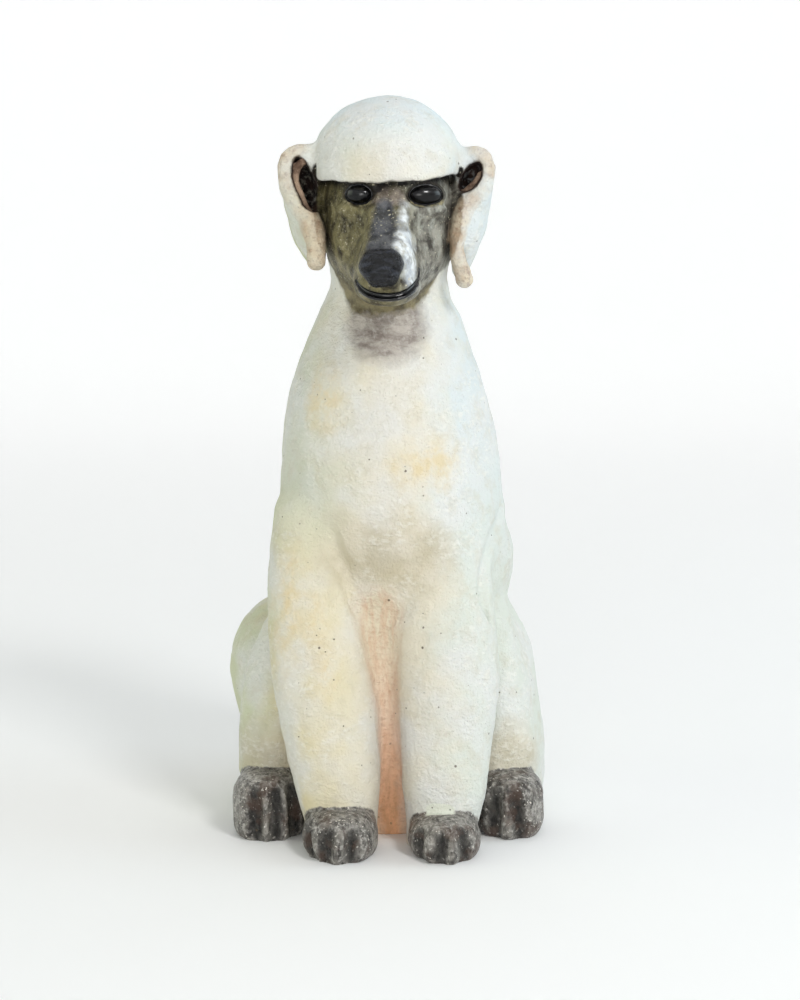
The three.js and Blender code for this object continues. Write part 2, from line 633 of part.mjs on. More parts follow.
// Fewer triangles: the edge whose loss changes the form least is shrunk to a point, again and
// again. Vertices on the floor stay on the floor, so the underside stays flat.
function simplify({ points, triangles }, wanted) {
  const around = points.map(() => []);
  const planes = new Float64Array(points.length * 10);
  const changes = new Int32Array(points.length);
  triangles.forEach((corners, t) => {
    const [a, b, c] = corners.map((i) => points[i]);
    const normal = faceNormal(a, b, c);
    const size = Math.hypot(...normal) || 1e-9;
    const unit = normal.map((n) => n / size);
    const weight = size * weightAt(a);
    for (const i of corners) {
      around[i].push(t);
      addPlane(planes, i * 10, unit, -dot(unit, a), weight);
    }
  });
  const neighbours = (i) => new Set(around[i].flatMap((t) => triangles[t]).filter((other) => other !== i));

  const queue = new Queue();
  const offer = (a, b) => {
    const q = planes.slice(a * 10, a * 10 + 10).map((term, i) => term + planes[b * 10 + i]);
    const [p, r] = [points[a], points[b]];
    const length2 = dot(minus(p, r), minus(p, r));
    const middle = p.map((value, i) => (value + r[i]) / 2);
    const choices = [p, r, middle];
    const best = meetingPoint(q);
    if (best && dot(minus(best, middle), minus(best, middle)) < 2 * length2) choices.push(best);
    const grounded = p[2] === 0 || r[2] === 0;
    let least = null;
    for (const choice of choices) {
      const z = grounded ? 0 : Math.max(choice[2], 0.2);
      const cost = planeError(q, choice[0], choice[1], z) + 1e-5 * length2 * (q[0] + q[4] + q[7]);
      if (!least || cost < least.cost) least = { cost, point: [choice[0], choice[1], z] };
    }
    queue.push({ ...least, a, b, from: changes[a], to: changes[b] });
  };
  points.forEach((_, a) => neighbours(a).forEach((b) => { if (a < b) offer(a, b); }));

  const keepsFacing = (i, gone, point) => around[i].every((t) => {
    const corners = triangles[t];
    if (corners.includes(gone)) return true;
    const before = faceNormal(...corners.map((c) => points[c]));
    const [a, b, c] = corners.map((corner) => (corner === i ? point : points[corner]));
    const after = faceNormal(a, b, c);
    const size = Math.hypot(...after);
    const longest2 = Math.max(...[minus(a, b), minus(b, c), minus(c, a)].map((e) => dot(e, e)));
    return size > 0.04 * longest2 && dot(before, after) > 0.25 * size * Math.hypot(...before);
  });

  let left = triangles.length;
  while (left > wanted && queue.entries.length > 0) {
    const { a, b, from, to, point } = queue.pop();
    if (changes[a] !== from || changes[b] !== to) continue;
    const beside = neighbours(b);
    const shared = [...neighbours(a)].filter((i) => beside.has(i));
    if (shared.length !== 2 || !keepsFacing(a, b, point) || !keepsFacing(b, a, point)) continue;
    for (const t of around[b]) {
      if (triangles[t].includes(a)) {
        shared.forEach((i) => { around[i] = around[i].filter((other) => other !== t); });
        around[a] = around[a].filter((other) => other !== t);
        triangles[t] = null;
        left--;
      } else {
        triangles[t] = triangles[t].map((i) => (i === b ? a : i));
        around[a].push(t);
      }
    }
    around[b] = [];
    points[a] = point;
    for (let i = 0; i < 10; i++) planes[a * 10 + i] += planes[b * 10 + i];
    changes[a]++;
    changes[b] = -1;
    neighbours(a).forEach((i) => offer(a, i));
  }
  return { points, triangles: triangles.filter((corners) => corners) };
}

function solid() {
  const grid = sample(dog());
  settle(grid);
  const net = netOver(grid);
  for (const point of net.points) {
    if (Math.abs(point[2]) < STEP * 0.4) point[2] = 0;
  }
  const { points, triangles } = simplify(net, TRIANGLES);
  const geometry = new THREE.BufferGeometry();
  const corners = triangles.flat();
  geometry.setAttribute('position', new THREE.Float32BufferAttribute(corners.flatMap((i) => points[i]), 3));
  geometry.computeBoundingBox();
  const centre = geometry.boundingBox.getCenter(new THREE.Vector3());
  geometry.translate(-centre.x, -centre.y, 0);
  geometry.computeVertexNormals();
  return geometry;
}

const CLAY = new THREE.MeshStandardMaterial({ color: 0xe1dcd2, roughness: 0.9, metalness: 0 });

const part = new THREE.Group();
part.name = 'dog_sculpture';
const body = new THREE.Mesh(solid(), CLAY);
body.name = 'dog';
part.add(body);

export default part;
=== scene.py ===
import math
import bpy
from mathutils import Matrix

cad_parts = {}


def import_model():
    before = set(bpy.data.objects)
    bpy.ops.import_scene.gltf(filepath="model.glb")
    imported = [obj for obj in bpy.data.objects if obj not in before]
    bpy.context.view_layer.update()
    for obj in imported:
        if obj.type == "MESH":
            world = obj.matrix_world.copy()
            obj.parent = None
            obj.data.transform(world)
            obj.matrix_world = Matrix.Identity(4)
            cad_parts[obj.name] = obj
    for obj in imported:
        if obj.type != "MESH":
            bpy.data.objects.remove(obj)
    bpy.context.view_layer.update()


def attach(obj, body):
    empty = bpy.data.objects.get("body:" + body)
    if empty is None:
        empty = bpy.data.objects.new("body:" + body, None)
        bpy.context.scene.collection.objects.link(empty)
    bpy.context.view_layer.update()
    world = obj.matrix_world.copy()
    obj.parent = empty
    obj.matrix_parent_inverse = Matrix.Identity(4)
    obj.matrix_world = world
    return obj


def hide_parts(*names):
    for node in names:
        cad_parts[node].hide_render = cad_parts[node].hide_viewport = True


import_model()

# A seated dog, hand-built in one piece of pale fired clay: cream slip over the body, a dark
# oxide wash on the face and the paws, and glossy black eyes and lips.
#
# The form is a field: a function of points that is below zero inside the clay and grows with
# distance outside it. Rounded forms are joined in the field with soft edges, creases and
# hollows are cut from it, and its zero surface becomes one mesh. The numbers are in
# millimetres, with the floor at z = 0. The dog faces -Y, so its left side is +X.
from concurrent.futures import ThreadPoolExecutor
from types import SimpleNamespace

import bmesh
import bpy
import numpy as np
from mathutils import Euler, Vector

# Trunk: oval level sections (height, half width, x, front y, back y) from floor to head.
TRUNK = [
    (0, 55, 0, -37, 92),
    (60, 57, 0.5, -45, 92),
    (108, 58, 2, -46, 80.5),
    (130, 59, 3.8, -49, 72.5),
    (150, 56.2, 2.2, -56, 64),
    (190, 52.5, 1, -55, 50),
    (220, 45.8, 0, -50, 41),
    (250, 34.6, 0.4, -43, 34),
    (266, 27.6, 0.2, -39, 30),
    (284, 24, 0, -36, 27),
    (305, 23, 0, -34, 24),
]
CHEST = dict(at=(1.5, -20, 167), radii=(39, 37.5, 56), turn=(-4, 0, 0))

# Forelegs: round level sections (height, x, y, radius) from inside the paw to the shoulder.
RIGHT_FORELEG = [
    (8, -22.2, -51, 17),
    (30, -24.2, -48.6, 20.8),
    (52, -27.2, -46, 23.4),
    (75, -30.2, -43, 24.8),
    (98, -33.2, -39, 24),
    (125, -35, -33, 22.2),
    (165, -35, -22, 19),
]
LEFT_FORELEG = [
    (8, 26.2, -51, 17),
    (30, 27.6, -48.6, 20.6),
    (52, 28.2, -46, 22.2),
    (75, 28.6, -43, 24.5),
    (98, 27.4, -39, 24.8),
    (125, 27.5, -33, 23),
    (165, 29, -22, 19),
]

# Hind legs: a haunch over a rump that rests on the floor, with the shin in front of both.
RIGHT_HIND = dict(
    haunch=dict(at=(-53.5, 30, 74), radii=(26.6, 43, 27), turn=(22, 0, -3)),
    rump=dict(at=(-46, 30, 24), radii=(26, 55, 40), turn=(-8, 0, 0)),
    shin=[(-55, -14, 30, 18.8), (-54.6, -14, 60, 18.2), (-51, -10, 80, 17), (-45, -4, 100, 13)],
    crease=2,
)
LEFT_HIND = dict(
    haunch=dict(at=(49, 27, 68), radii=(25, 50, 38), turn=(15, 0, 5)),
    rump=dict(at=(54, 25, 20), radii=(25.5, 56, 34)),
    shin=[(54.4, -12, 30, 17.8), (51, -8, 68, 16.8), (46, -4, 98, 15)],
    crease=4,
)
CREASES = [
    [(-25, -50.5, 150, 0.6), (-23.4, -51, 143, 1.6), (-19.4, -50, 127, 1.8), (-15, -49, 112, 0.8)],
    [(56.6, -2, 161, 0.8), (55.2, -16, 152, 2.4), (48.2, -38, 139, 2.6), (45.2, -48.6, 122, 2),
     (47, -46, 108, 0.8)],
]
TAIL = [(0, 80, 30, 13), (8, 87, 17, 11.5), (26, 89, 10.5, 10), (44, 82, 8, 8)]

# Paws stand on the floor. Each groove between toes runs from a place across the front of
# the paw near its top to another at the floor.
RIGHT_FORE_TOES = [(-16.4, -14), (-5, -8), (6.9, 5.6)]
LEFT_FORE_TOES = [(-13.4, -13.2), (-2, -3), (8.8, 9.8)]
RIGHT_HIND_TOES = [(-4.6, -4.2), (5.6, 5.4), (13.6, 14.4)]
LEFT_HIND_TOES = [(-9.4, -9.8), (0.2, 3.6)]
PAWS = [
    dict(at=(-22.6, -66, 0), width=36, length=50, height=21.5, turn=0, grooves=RIGHT_FORE_TOES),
    dict(at=(27.4, -66, 0), width=34.8, length=50, height=19.5, turn=0, grooves=LEFT_FORE_TOES),
    dict(at=(-57.5, -30, 0), width=36.5, length=48, height=31.5, turn=-4, grooves=RIGHT_HIND_TOES),
    dict(at=(59.5, -28, 0), width=34, length=44, height=30, turn=5, grooves=LEFT_HIND_TOES),
]
TOE_VALLEY = dict(radius=3.4, out=0.9)
TOE_LINE = dict(radius=1.2, out=-0.7)

# Head: skull, cheeks drawn forward into the muzzle, and a cap of hair ending in a brow line.
SKULL = dict(at=(0.6, -16, 300), radii=(30.5, 42, 44))
CHEEKS = dict(start=(0.6, -22, 288), end=(-0.4, -69, 276.5), radii=(29, 15))
BRIDGE = [
    dict(start=(-4.6, -51, 303), end=(-7.2, -80, 279.5), radii=(6.4, 5)),
    dict(start=(7.2, -51, 303), end=(3.6, -80, 279.5), radii=(6.4, 5)),
]
CAP = dict(at=(0, -14, 319.5), radii=(36.6, 47, 36))
BROW_HEIGHT = 314.4
BROW_Y = -60
BROW_SLOPE = (0.04, 0.09)
BROW_WAVES = [(0.45, 0.23, 1.0), (0.2, 0.67, 0.4)]
NAPE_Y = -10
NAPE_DROP = 1.3
CHIN = dict(at=(0.2, -69, 267.6), radii=(15.2, 17.5, 9))

# Hollows between the muzzle and the cheeks, and a swelling below each eye.
FACE_HOLLOWS = [
    dict(at=(-20.5, -67, 290), radii=(8, 15, 14), turn=(0, 8, 0)),
    dict(at=(21.5, -66, 292), radii=(8, 15, 13), turn=(0, -8, 0)),
]
POUCHES = [
    dict(at=(-15.5, -48.6, 302.4), radii=(8.6, 5, 3.6), turn=(0, 0, -17)),
    dict(at=(18.6, -47.6, 302.2), radii=(9.4, 5, 3.6), turn=(0, 0, 17)),
]

# Nose: narrow on top, widest a third of the way down, and rounded below.
NOSE_TOP = dict(start=(-6.2, -85.4, 281.6), end=(1.4, -85.4, 281.6), radii=(3.9, 3.9))
NOSE_MIDDLE = dict(start=(-7.4, -86, 277.6), end=(2.4, -86, 278.4), radii=(5.4, 5.2))
NOSE_FOOT = dict(start=(-4.2, -87, 272.6), end=(0.6, -87, 272.8), radii=(4.2, 4.2))
NOSTRILS = [
    dict(at=(-8.6, -92.4, 275.4), radii=(2.4, 2.2, 1.1), turn=(0, -32, 0)),
    dict(at=(3.8, -92, 275.8), radii=(2.4, 2.2, 1.1), turn=(0, 32, 0)),
]

# Eyes: balls pressed into cut sockets, each inside a raised rim.
EYES = [
    dict(at=(-12.6, -50.2, 309.2), radii=(6.4, 4.7, 4.7), turn=-15),
    dict(at=(17.4, -48.6, 309), radii=(8.2, 4.8, 4.7), turn=17),
]
EYE_RIM = 0.9

# Mouth: a line cut above a rolled lower lip, as x, y, z and its share of the full width.
MOUTH = [
    (-14, -75, 270.8, 0.35), (-11.4, -80, 267.4, 0.8), (-6.6, -84, 265.2, 1),
    (1, -85.4, 264.3, 1), (8, -83.4, 265.6, 1), (12.4, -79, 268.6, 0.9),
    (14.2, -73, 272, 0.4), (14.8, -69, 276, 0.2),
]
LIP = dict(radius=1.25, forward=-0.8, up=-1.4)
MOUTH_CUT = dict(radius=1.1, forward=0.1, up=0)

# Ears: a hanging flap with a rolled front edge round a hollow.
RIGHT_EAR = dict(
    flap=dict(at=(-41.6, -13, 302.5), radii=(7.2, 20, 28), turn=(0, -12, 0)),
    crest=dict(at=(-39.5, -19, 317), radii=(8.6, 14, 13), turn=(0, -8, 0)),
    root=dict(at=(-31, -2, 311), radii=(12.5, 15, 18), turn=(0, -10, 0)),
    fold=dict(at=(-33.6, -20, 293), radii=(5.6, 13, 11)),
    edge=[
        (-33, -24, 327, 2.6), (-40.5, -27, 329.2, 2.4), (-46.6, -29, 326.5, 2.8),
        (-47.8, -30, 319, 3.4), (-45.2, -31, 310.5, 3.6), (-39.4, -33, 303, 4),
        (-35.4, -35, 295, 4.2), (-33.2, -36, 286, 4.2), (-33.4, -36, 277.6, 4.3),
    ],
)
RIGHT_EAR_HOLLOW = dict(at=(-38.6, -31, 313.5), radii=(5.2, 17, 13.8), turn=(0, -17, 0))
RIGHT_INNER_FOLD = [
    (-37.6, -28.4, 325.4, 1), (-42.6, -29, 321.8, 1.6), (-43.4, -29.4, 315, 1.8),
    (-40.6, -29.6, 307, 1.7), (-36.4, -30, 300.5, 0.9),
]
LEFT_EAR = dict(
    flap=dict(at=(41, -13, 299), radii=(7.2, 20, 31), turn=(0, 12, 0)),
    crest=dict(at=(39.5, -19, 316), radii=(8.2, 14, 12.6), turn=(0, 8, 0)),
    root=dict(at=(31, -2, 311), radii=(12.5, 15, 18), turn=(0, 10, 0)),
    fold=dict(at=(33, -19, 297), radii=(7, 14, 16)),
    edge=[
        (36, -24, 326, 2.8), (41.5, -27, 328.4, 2.6), (46, -29, 326, 3), (46.8, -30, 319, 3.2),
        (44.4, -31, 312, 3.4), (38.8, -33, 305.5, 3.6), (34.6, -35, 298.5, 3.5),
        (32.8, -36, 290, 3.2), (32.8, -36, 281, 3.3), (35.4, -36, 273, 4), (36.4, -35, 269.5, 4.3),
    ],
)
LEFT_EAR_HOLLOW = dict(at=(39.4, -31, 317), radii=(4.4, 16, 8.4), turn=(0, 32, 0))
LEFT_INNER_FOLD = [
    (35.8, -26.6, 309.4, 1.2), (38.6, -27, 311, 1.9), (41.6, -27, 314.4, 1.6),
    (43.6, -27, 318.6, 0.7),
]

# Mesh: box sampled, sampling step, triangles kept, and the part of the face with finer ones.
LOW = (-86, -102, -4)
HIGH = (86, 106, 362)
STEP = 1.0
TRIANGLES = 190_000
FINE_LOW = (-27, -97, 257)
FINE_HIGH = (29, -36, 319)


# Field functions take points as three rows of x, y and z, and give one distance for each.

def blend(a, b, k):
    """Smaller of two distances, rounded over a width k where they meet."""
    near = np.maximum(k - np.abs(a - b), 0) / k
    return np.minimum(a, b) - near * near * (k / 4)


def join(k, *forms):
    def field(p):
        d = forms[0](p)
        for form in forms[1:]:
            d = blend(d, form(p), k)
        return d
    return field


def cut(k, form, *tools):
    def field(p):
        d = form(p)
        for tool in tools:
            d = -blend(-d, tool(p), k)
        return d
    return field


def local(at, turn):
    """Turns points into the axes of a form at a place, turned in degrees about x, y and z."""
    angles = Euler([math.radians(t) for t in turn])
    to_form = np.array(angles.to_matrix().transposed(), np.float32)
    place = np.array(at, np.float32)[:, None]
    return lambda p: to_form @ (p - place)


def ellipsoid(at, radii, turn=(0, 0, 0)):
    to_local = local(at, turn)
    r = np.array(radii, np.float32)[:, None]

    def field(p):
        q = to_local(p) / r
        near = np.sqrt((q * q).sum(0))
        q /= r
        slope = np.sqrt((q * q).sum(0))
        return near * (near - 1) / np.maximum(slope, 1e-6)
    return field


def bar(start, end, radii):
    """Rounded bar with a radius at each end."""
    a = np.array(start, np.float32)
    way = np.array(end, np.float32) - a
    length2 = float(way @ way)

    def field(p):
        q = p - a[:, None]
        t = np.clip((way @ q) / length2, 0, 1)
        q -= way[:, None] * t
        return np.sqrt((q * q).sum(0)) - radii[0] - (radii[1] - radii[0]) * t
    return field


def curve(knots, pieces):
    """Points along the smooth curve through knots with any number of columns."""
    row = np.array(knots, float)
    row = np.vstack([2 * row[0] - row[1], row, 2 * row[-1] - row[-2]])
    t = np.linspace(0, len(knots) - 1, pieces + 1)
    i = np.minimum(t.astype(int), len(knots) - 2)
    f = (t - i)[:, None]
    a, b, c, d = (row[i + n] for n in range(4))
    return 0.5 * (2 * b + (c - a) * f + (2 * a - 5 * b + 4 * c - d) * f ** 2
                  + (3 * b - a - 3 * c + d) * f ** 3)


def roll(knots, pieces):
    """Tube along the curve through knots of x, y, z and radius."""
    points = curve(knots, pieces)
    bars = [bar(a[:3], b[:3], (a[3], b[3])) for a, b in zip(points, points[1:])]

    def field(p):
        d = bars[0](p)
        for form in bars[1:]:
            d = np.minimum(d, form(p))
        return d
    return field


def sections(rows):
    """Columns at given heights, smooth through a list of level sections."""
    table = np.array(rows, float)
    heights = table[:, 0]
    slopes = np.empty_like(table)
    slopes[1:-1] = (table[2:] - table[:-2]) / (heights[2:] - heights[:-2])[:, None]
    slopes[0] = (table[1] - table[0]) / (heights[1] - heights[0])
    slopes[-1] = (table[-1] - table[-2]) / (heights[-1] - heights[-2])

    def columns(z):
        z = np.clip(z, heights[0], heights[-1])
        i = np.clip(np.searchsorted(heights, z, side='right') - 1, 0, len(heights) - 2)
        span = np.diff(heights)[i]
        f = (z - heights[i]) / span
        values = (((2 * f - 3) * f * f + 1) * table[i].T
                  + ((f - 2) * f + 1) * f * span * slopes[i].T
                  + (3 - 2 * f) * f * f * table[i + 1].T
                  + (f - 1) * f * f * span * slopes[i + 1].T)
        return values[1:].astype(np.float32)
    return columns


def oval(x, y, half_width, half_depth):
    """Distance to an upright wall with an oval plan."""
    near = np.sqrt((x / half_width) ** 2 + (y / half_depth) ** 2)
    slope = np.sqrt((x / half_width ** 2) ** 2 + (y / half_depth ** 2) ** 2)
    return near * (near - 1) / np.maximum(slope, 1e-6)


def trunk(rows):
    columns = sections(rows)
    top = rows[-1][0]

    def field(p):
        half_width, middle, front, back = columns(p[2])
        wall = oval(p[0] - middle, p[1] - (front + back) / 2, half_width, (back - front) / 2)
        return -blend(-wall * 0.95, top - p[2], 6)
    return field


def foreleg(rows):
    columns = sections(rows)
    top = rows[-1][0]

    def field(p):
        x, y, radius = columns(p[2])
        return -blend(radius - np.hypot(p[0] - x, p[1] - y), top - p[2], 8)
    return field


def hind_leg(haunch, rump, shin, crease):
    return join(crease, join(26, ellipsoid(**haunch), ellipsoid(**rump)), roll(shin, 6))


def between_toes(width, length, height, grooves, radius, out):
    """Bars down the front of a paw, one along each groove, in the axes of the paw."""
    bars = []
    for ends in grooves:
        y = [-length / 2 * math.sqrt(1 - (2 * x / width) ** 2) - out for x in ends]
        top = (ends[0], y[0] + 1, height - 7)
        foot = (ends[1], y[1] + 1.5, 1)
        bars.append(bar(top, foot, (radius, radius)))
    return bars


def toe_lines(at, width, length, height, turn, grooves):
    """Distance to the grooves of a paw."""
    to_local = local(at, (0, 0, turn))
    lines = join(0.1, *between_toes(width, length, height, grooves, **TOE_LINE))
    return lambda p: lines(to_local(p))


def paw(at, width, length, height, turn, grooves):
    """Drum-shaped foot, rounded on top, tucked in at the floor and grooved between the toes."""
    to_local = local(at, (0, 0, turn))
    valleys = between_toes(width, length, height, grooves, **TOE_VALLEY)
    lines = between_toes(width, length, height, grooves, **TOE_LINE)

    def field(p):
        q = to_local(p)
        drum = -blend(-oval(q[0], q[1], width / 2, length / 2), height - q[2], 14)
        d = -blend(-drum, q[2] + 2, 10)
        for valley in valleys:
            d = -blend(-d, valley(q), 3)
        for line in lines:
            d = -blend(-d, line(q), 1)
        return d
    return field


def ear(flap, crest, root, fold, edge):
    shell = join(5, ellipsoid(**flap), ellipsoid(**crest), ellipsoid(**root), ellipsoid(**fold))
    return join(7, shell, roll(edge, 2 * len(edge) - 3))


def eye_ball(at, radii, turn):
    return ellipsoid(at, radii, (0, 0, turn))


def with_eye(head_form, at, radii, turn):
    """Head with one eye: the socket is cut, then the rim and the ball are set in it."""
    width, _, height = radii
    angle = math.radians(turn)
    rim = []
    for n in range(13):
        around = 2 * math.pi * n / 12
        across = (width + 1) * math.cos(around)
        x = at[0] + across * math.cos(angle) + 0.6 * math.sin(angle)
        y = at[1] + across * math.sin(angle) - 0.6 * math.cos(angle)
        rim.append((x, y, at[2] + (height + 0.8) * math.sin(around), EYE_RIM))
    socket = ellipsoid((at[0], at[1] - 5.4, at[2]), (width + 1.3, 6.2, height + 1), (0, 0, turn))
    seat = join(2, cut(1.5, head_form, socket), roll(rim, 24))
    return join(0.3, seat, eye_ball(at, radii, turn))


def over_brow(p):
    """Height over the brow line, which rises to the sides and drops to the nape behind the ears."""
    line = BROW_HEIGHT + BROW_SLOPE[0] * p[0] + BROW_SLOPE[1] * (p[1] - BROW_Y)
    for height, rate, start in BROW_WAVES:
        line = line + height * np.sin(rate * p[0] + start)
    return p[2] - line + NAPE_DROP * np.maximum(p[1] - NAPE_Y, 0)


def cap():
    crown = ellipsoid(**CAP)
    return lambda p: -blend(-crown(p), over_brow(p), 2.4)


def along_mouth(radius, forward, up):
    knots = [(x, y - forward, z + up * share, radius * share) for x, y, z, share in MOUTH]
    return roll(knots, 16)


def nose():
    form = join(4, join(3, bar(**NOSE_TOP), bar(**NOSE_MIDDLE)), bar(**NOSE_FOOT))
    return cut(1, form, *(ellipsoid(**nostril) for nostril in NOSTRILS))


def face():
    """Skull, muzzle with a flat bridge, hollows beside it and swellings below the eyes."""
    muzzle = join(6, bar(**CHEEKS), join(5, *(bar(**edge) for edge in BRIDGE)))
    form = join(8, ellipsoid(**SKULL), muzzle)
    form = cut(9, form, *(ellipsoid(**hollow) for hollow in FACE_HOLLOWS))
    return join(4, form, *(ellipsoid(**pouch) for pouch in POUCHES))


def head():
    form = join(1.5, face(), join(6, cap(), ear(**RIGHT_EAR), ear(**LEFT_EAR)))
    form = cut(2, form, ellipsoid(**RIGHT_EAR_HOLLOW), ellipsoid(**LEFT_EAR_HOLLOW))
    form = join(2, form, roll(RIGHT_INNER_FOLD, 8), roll(LEFT_INNER_FOLD, 6))
    for eye in EYES:
        form = with_eye(form, **eye)
    form = join(4, join(0.8, form, nose()), ellipsoid(**CHIN))
    return cut(0.8, join(1.5, form, along_mouth(**LIP)), along_mouth(**MOUTH_CUT))


def dog():
    ribs = join(10, trunk(TRUNK), ellipsoid(**CHEST))
    seated = join(5, join(8, ribs, hind_leg(**RIGHT_HIND), hind_leg(**LEFT_HIND)), roll(TAIL, 9))
    standing = join(6, seated, foreleg(RIGHT_FORELEG), foreleg(LEFT_FORELEG))
    creased = cut(5, join(10, standing, head()), *(roll(line, 8) for line in CREASES))
    whole = join(1.5, creased, *(paw(**foot) for foot in PAWS))
    return lambda p: np.maximum(whole(p), -p[2])


def evaluate(field, points):
    """Field at many points, worked out in chunks on the processor's cores."""
    chunks = np.array_split(points, points.shape[1] // 60_000 + 1, axis=1)
    with ThreadPoolExecutor(4) as pool:
        return np.concatenate(list(pool.map(field, chunks)))


def sample(field):
    """Field on a grid of points. A block far from the surface is filled with one value."""
    block = 6
    blocks = np.ceil((np.array(HIGH) - LOW) / STEP / block).astype(int)
    axes = [LOW[m] + STEP * (np.arange(blocks[m] * block) + 0.5) for m in range(3)]
    middles = np.meshgrid(*(axis.reshape(-1, block).mean(1) for axis in axes), indexing='ij')
    coarse = evaluate(field, np.stack([m.ravel() for m in middles]).astype(np.float32))
    coarse = coarse.reshape(blocks)
    values = coarse
    for m in range(3):
        values = np.repeat(values, block, m)
    near = np.abs(values) < block * STEP * 0.9
    index = np.nonzero(near)
    points = np.stack([axes[m][index[m]] for m in range(3)]).astype(np.float32)
    values[index] = evaluate(field, points)
    return values, np.array([axis[0] for axis in axes])


CORNERS = [(i, j, k) for i in (0, 1) for j in (0, 1) for k in (0, 1)]


def seen_from(corner, grid):
    """Values of a grid at one corner of each cell."""
    size = np.array(grid.shape) - 1
    return grid[tuple(slice(c, c + n) for c, n in zip(corner, size))]


def middles_of_crossings(values, cells):
    """Middle of the places where the edges of each cell cross the surface."""
    at = {corner: seen_from(corner, values)[cells] for corner in CORNERS}
    total = np.zeros((len(cells[0]), 3))
    crossings = np.zeros(len(cells[0]))
    for start in CORNERS:
        for axis in range(3):
            if start[axis]:
                continue
            end = tuple(1 if m == axis else c for m, c in enumerate(start))
            crossed = (at[start] < 0) != (at[end] < 0)
            t = np.where(crossed, at[start] / np.where(crossed, at[start] - at[end], 1), 0)
            for m in range(3):
                total[:, m] += crossed * start[m] + (t if m == axis else 0)
            crossings += crossed
    return total / crossings[:, None]


def squares_across(axis, inside, index):
    """One square across each grid line along an axis that the surface crosses."""
    u, v = (axis + 1) % 3, (axis + 2) % 3
    here = [slice(1, -1)] * 3
    here[axis] = slice(0, -1)
    there = list(here)
    there[axis] = slice(1, None)
    lines = np.nonzero(inside[tuple(here)] != inside[tuple(there)])
    leaving = inside[tuple(here)][lines]
    lines = [line + (m != axis) for m, line in enumerate(lines)]

    def cell(du, dv):
        moved = [line - du * (m == u) - dv * (m == v) for m, line in enumerate(lines)]
        return index[tuple(moved)]
    squares = np.stack([cell(1, 1), cell(0, 1), cell(0, 0), cell(1, 0)], 1)
    squares[~leaving] = squares[~leaving][:, ::-1]
    return squares


def surface_net(values, origin):
    """One vertex in each grid cell that the surface passes through, and squares between them."""
    inside = values < 0
    count = sum(seen_from(corner, inside).astype(np.uint8) for corner in CORNERS)
    cells = np.nonzero((count > 0) & (count < 8))
    index = np.full(count.shape, -1)
    index[cells] = np.arange(len(cells[0]))
    points = origin + STEP * (np.stack(cells, 1) + middles_of_crossings(values, cells))
    return points, np.concatenate([squares_across(axis, inside, index) for axis in range(3)])


def inside_box(points, low, high):
    return ((points > low) & (points < high)).all(1)


def vertices_of(mesh, name='co'):
    values = np.empty(len(mesh.vertices) * 3, np.float32)
    mesh.vertices.foreach_get(name, values)
    return values.reshape(-1, 3)


def thinned(points, squares):
    """Mesh with fewer triangles on the body, and all of them kept on the face."""
    mesh = bpy.data.meshes.new('net')
    mesh.from_pydata(points, [], squares)
    obj = bpy.data.objects.new('net', mesh)
    bpy.context.scene.collection.objects.link(obj)
    fine = inside_box(points, FINE_LOW, FINE_HIGH)
    loose = obj.vertex_groups.new(name='loose')
    loose.add(np.nonzero(~fine)[0].tolist(), 1, 'REPLACE')
    fine_triangles = 2 * int(fine[squares].all(1).sum())
    wanted = TRIANGLES - 3 * fine_triangles
    thin = obj.modifiers.new('thin', 'DECIMATE')
    thin.ratio = wanted / (2 * len(squares))
    thin.vertex_group = loose.name
    evaluated = obj.evaluated_get(bpy.context.evaluated_depsgraph_get())
    result = bpy.data.meshes.new_from_object(evaluated)
    bpy.data.objects.remove(obj)
    bpy.data.meshes.remove(mesh)
    return result


def refine_face(mesh):
    """Splits each triangle of the face in four."""
    shape = bmesh.new()
    shape.from_mesh(mesh)
    bmesh.ops.triangulate(shape, faces=shape.faces)
    middles = np.array([face.calc_center_median() for face in shape.faces])
    fine = inside_box(middles, FINE_LOW, FINE_HIGH)
    edges = {edge for face, chosen in zip(shape.faces, fine) if chosen for edge in face.edges}
    order = sorted(edges, key=lambda edge: edge.index)
    bmesh.ops.subdivide_edges(shape, edges=order, cuts=1)
    bmesh.ops.triangulate(shape, faces=shape.faces)
    shape.to_mesh(mesh)
    shape.free()


def settle(mesh, field):
    """Moves the vertices along their normals onto the zero surface, and the lowest to the floor."""
    for _ in range(3):
        points = vertices_of(mesh)
        d = evaluate(field, points.T.copy())
        points -= np.clip(d, -0.6, 0.6)[:, None] * vertices_of(mesh, 'normal')
        points[:, 2] = np.where(points[:, 2] < 0.4, 0, points[:, 2])
        mesh.vertices.foreach_set('co', points.ravel())
        mesh.update()


# Paint and finish. Each zone is a form like those of the body. The clay's nodes take the
# distance to it, in millimetres, from an attribute of the same name.
FACE_WASH = dict(start=(0.6, -30, 298), end=(-0.6, -72, 282), radii=(37, 25))
TEMPLES = [
    dict(start=(-32.6, -33, 321), end=(-33.4, -27, 302), radii=(2.6, 4)),
    dict(start=(34.6, -33, 319.5), end=(34, -29, 308), radii=(2.2, 4.4)),
]
JAW_WASH = [
    dict(start=(-23, -32, 273), end=(-14, -38, 259), radii=(4, 5)),
    dict(start=(-10, -44, 258), end=(15, -42, 260), radii=(5, 4)),
    dict(start=(18, -38, 263), end=(22, -36, 270), radii=(3, 3)),
]
SLATE_BAND = dict(start=(-1, -58, 303), end=(-2.2, -84, 285), radii=(4.4, 7.6))
MAUVE_BRIDGE = dict(at=(0.4, -56, 308), radii=(9, 8, 5.5))
# Thin wash on the dog's left side of the muzzle, with a pale painted highlight on it.
THIN_WASH_SHEEN = [
    dict(start=(7.6, -60, 304), end=(10.4, -78, 287), radii=(1.4, 6.4)),
    dict(start=(10.4, -80, 285), end=(12.6, -80, 271), radii=(6.4, 4.6)),
    dict(start=(12, -72, 290), end=(24, -57, 288), radii=(6.4, 4.6)),
]
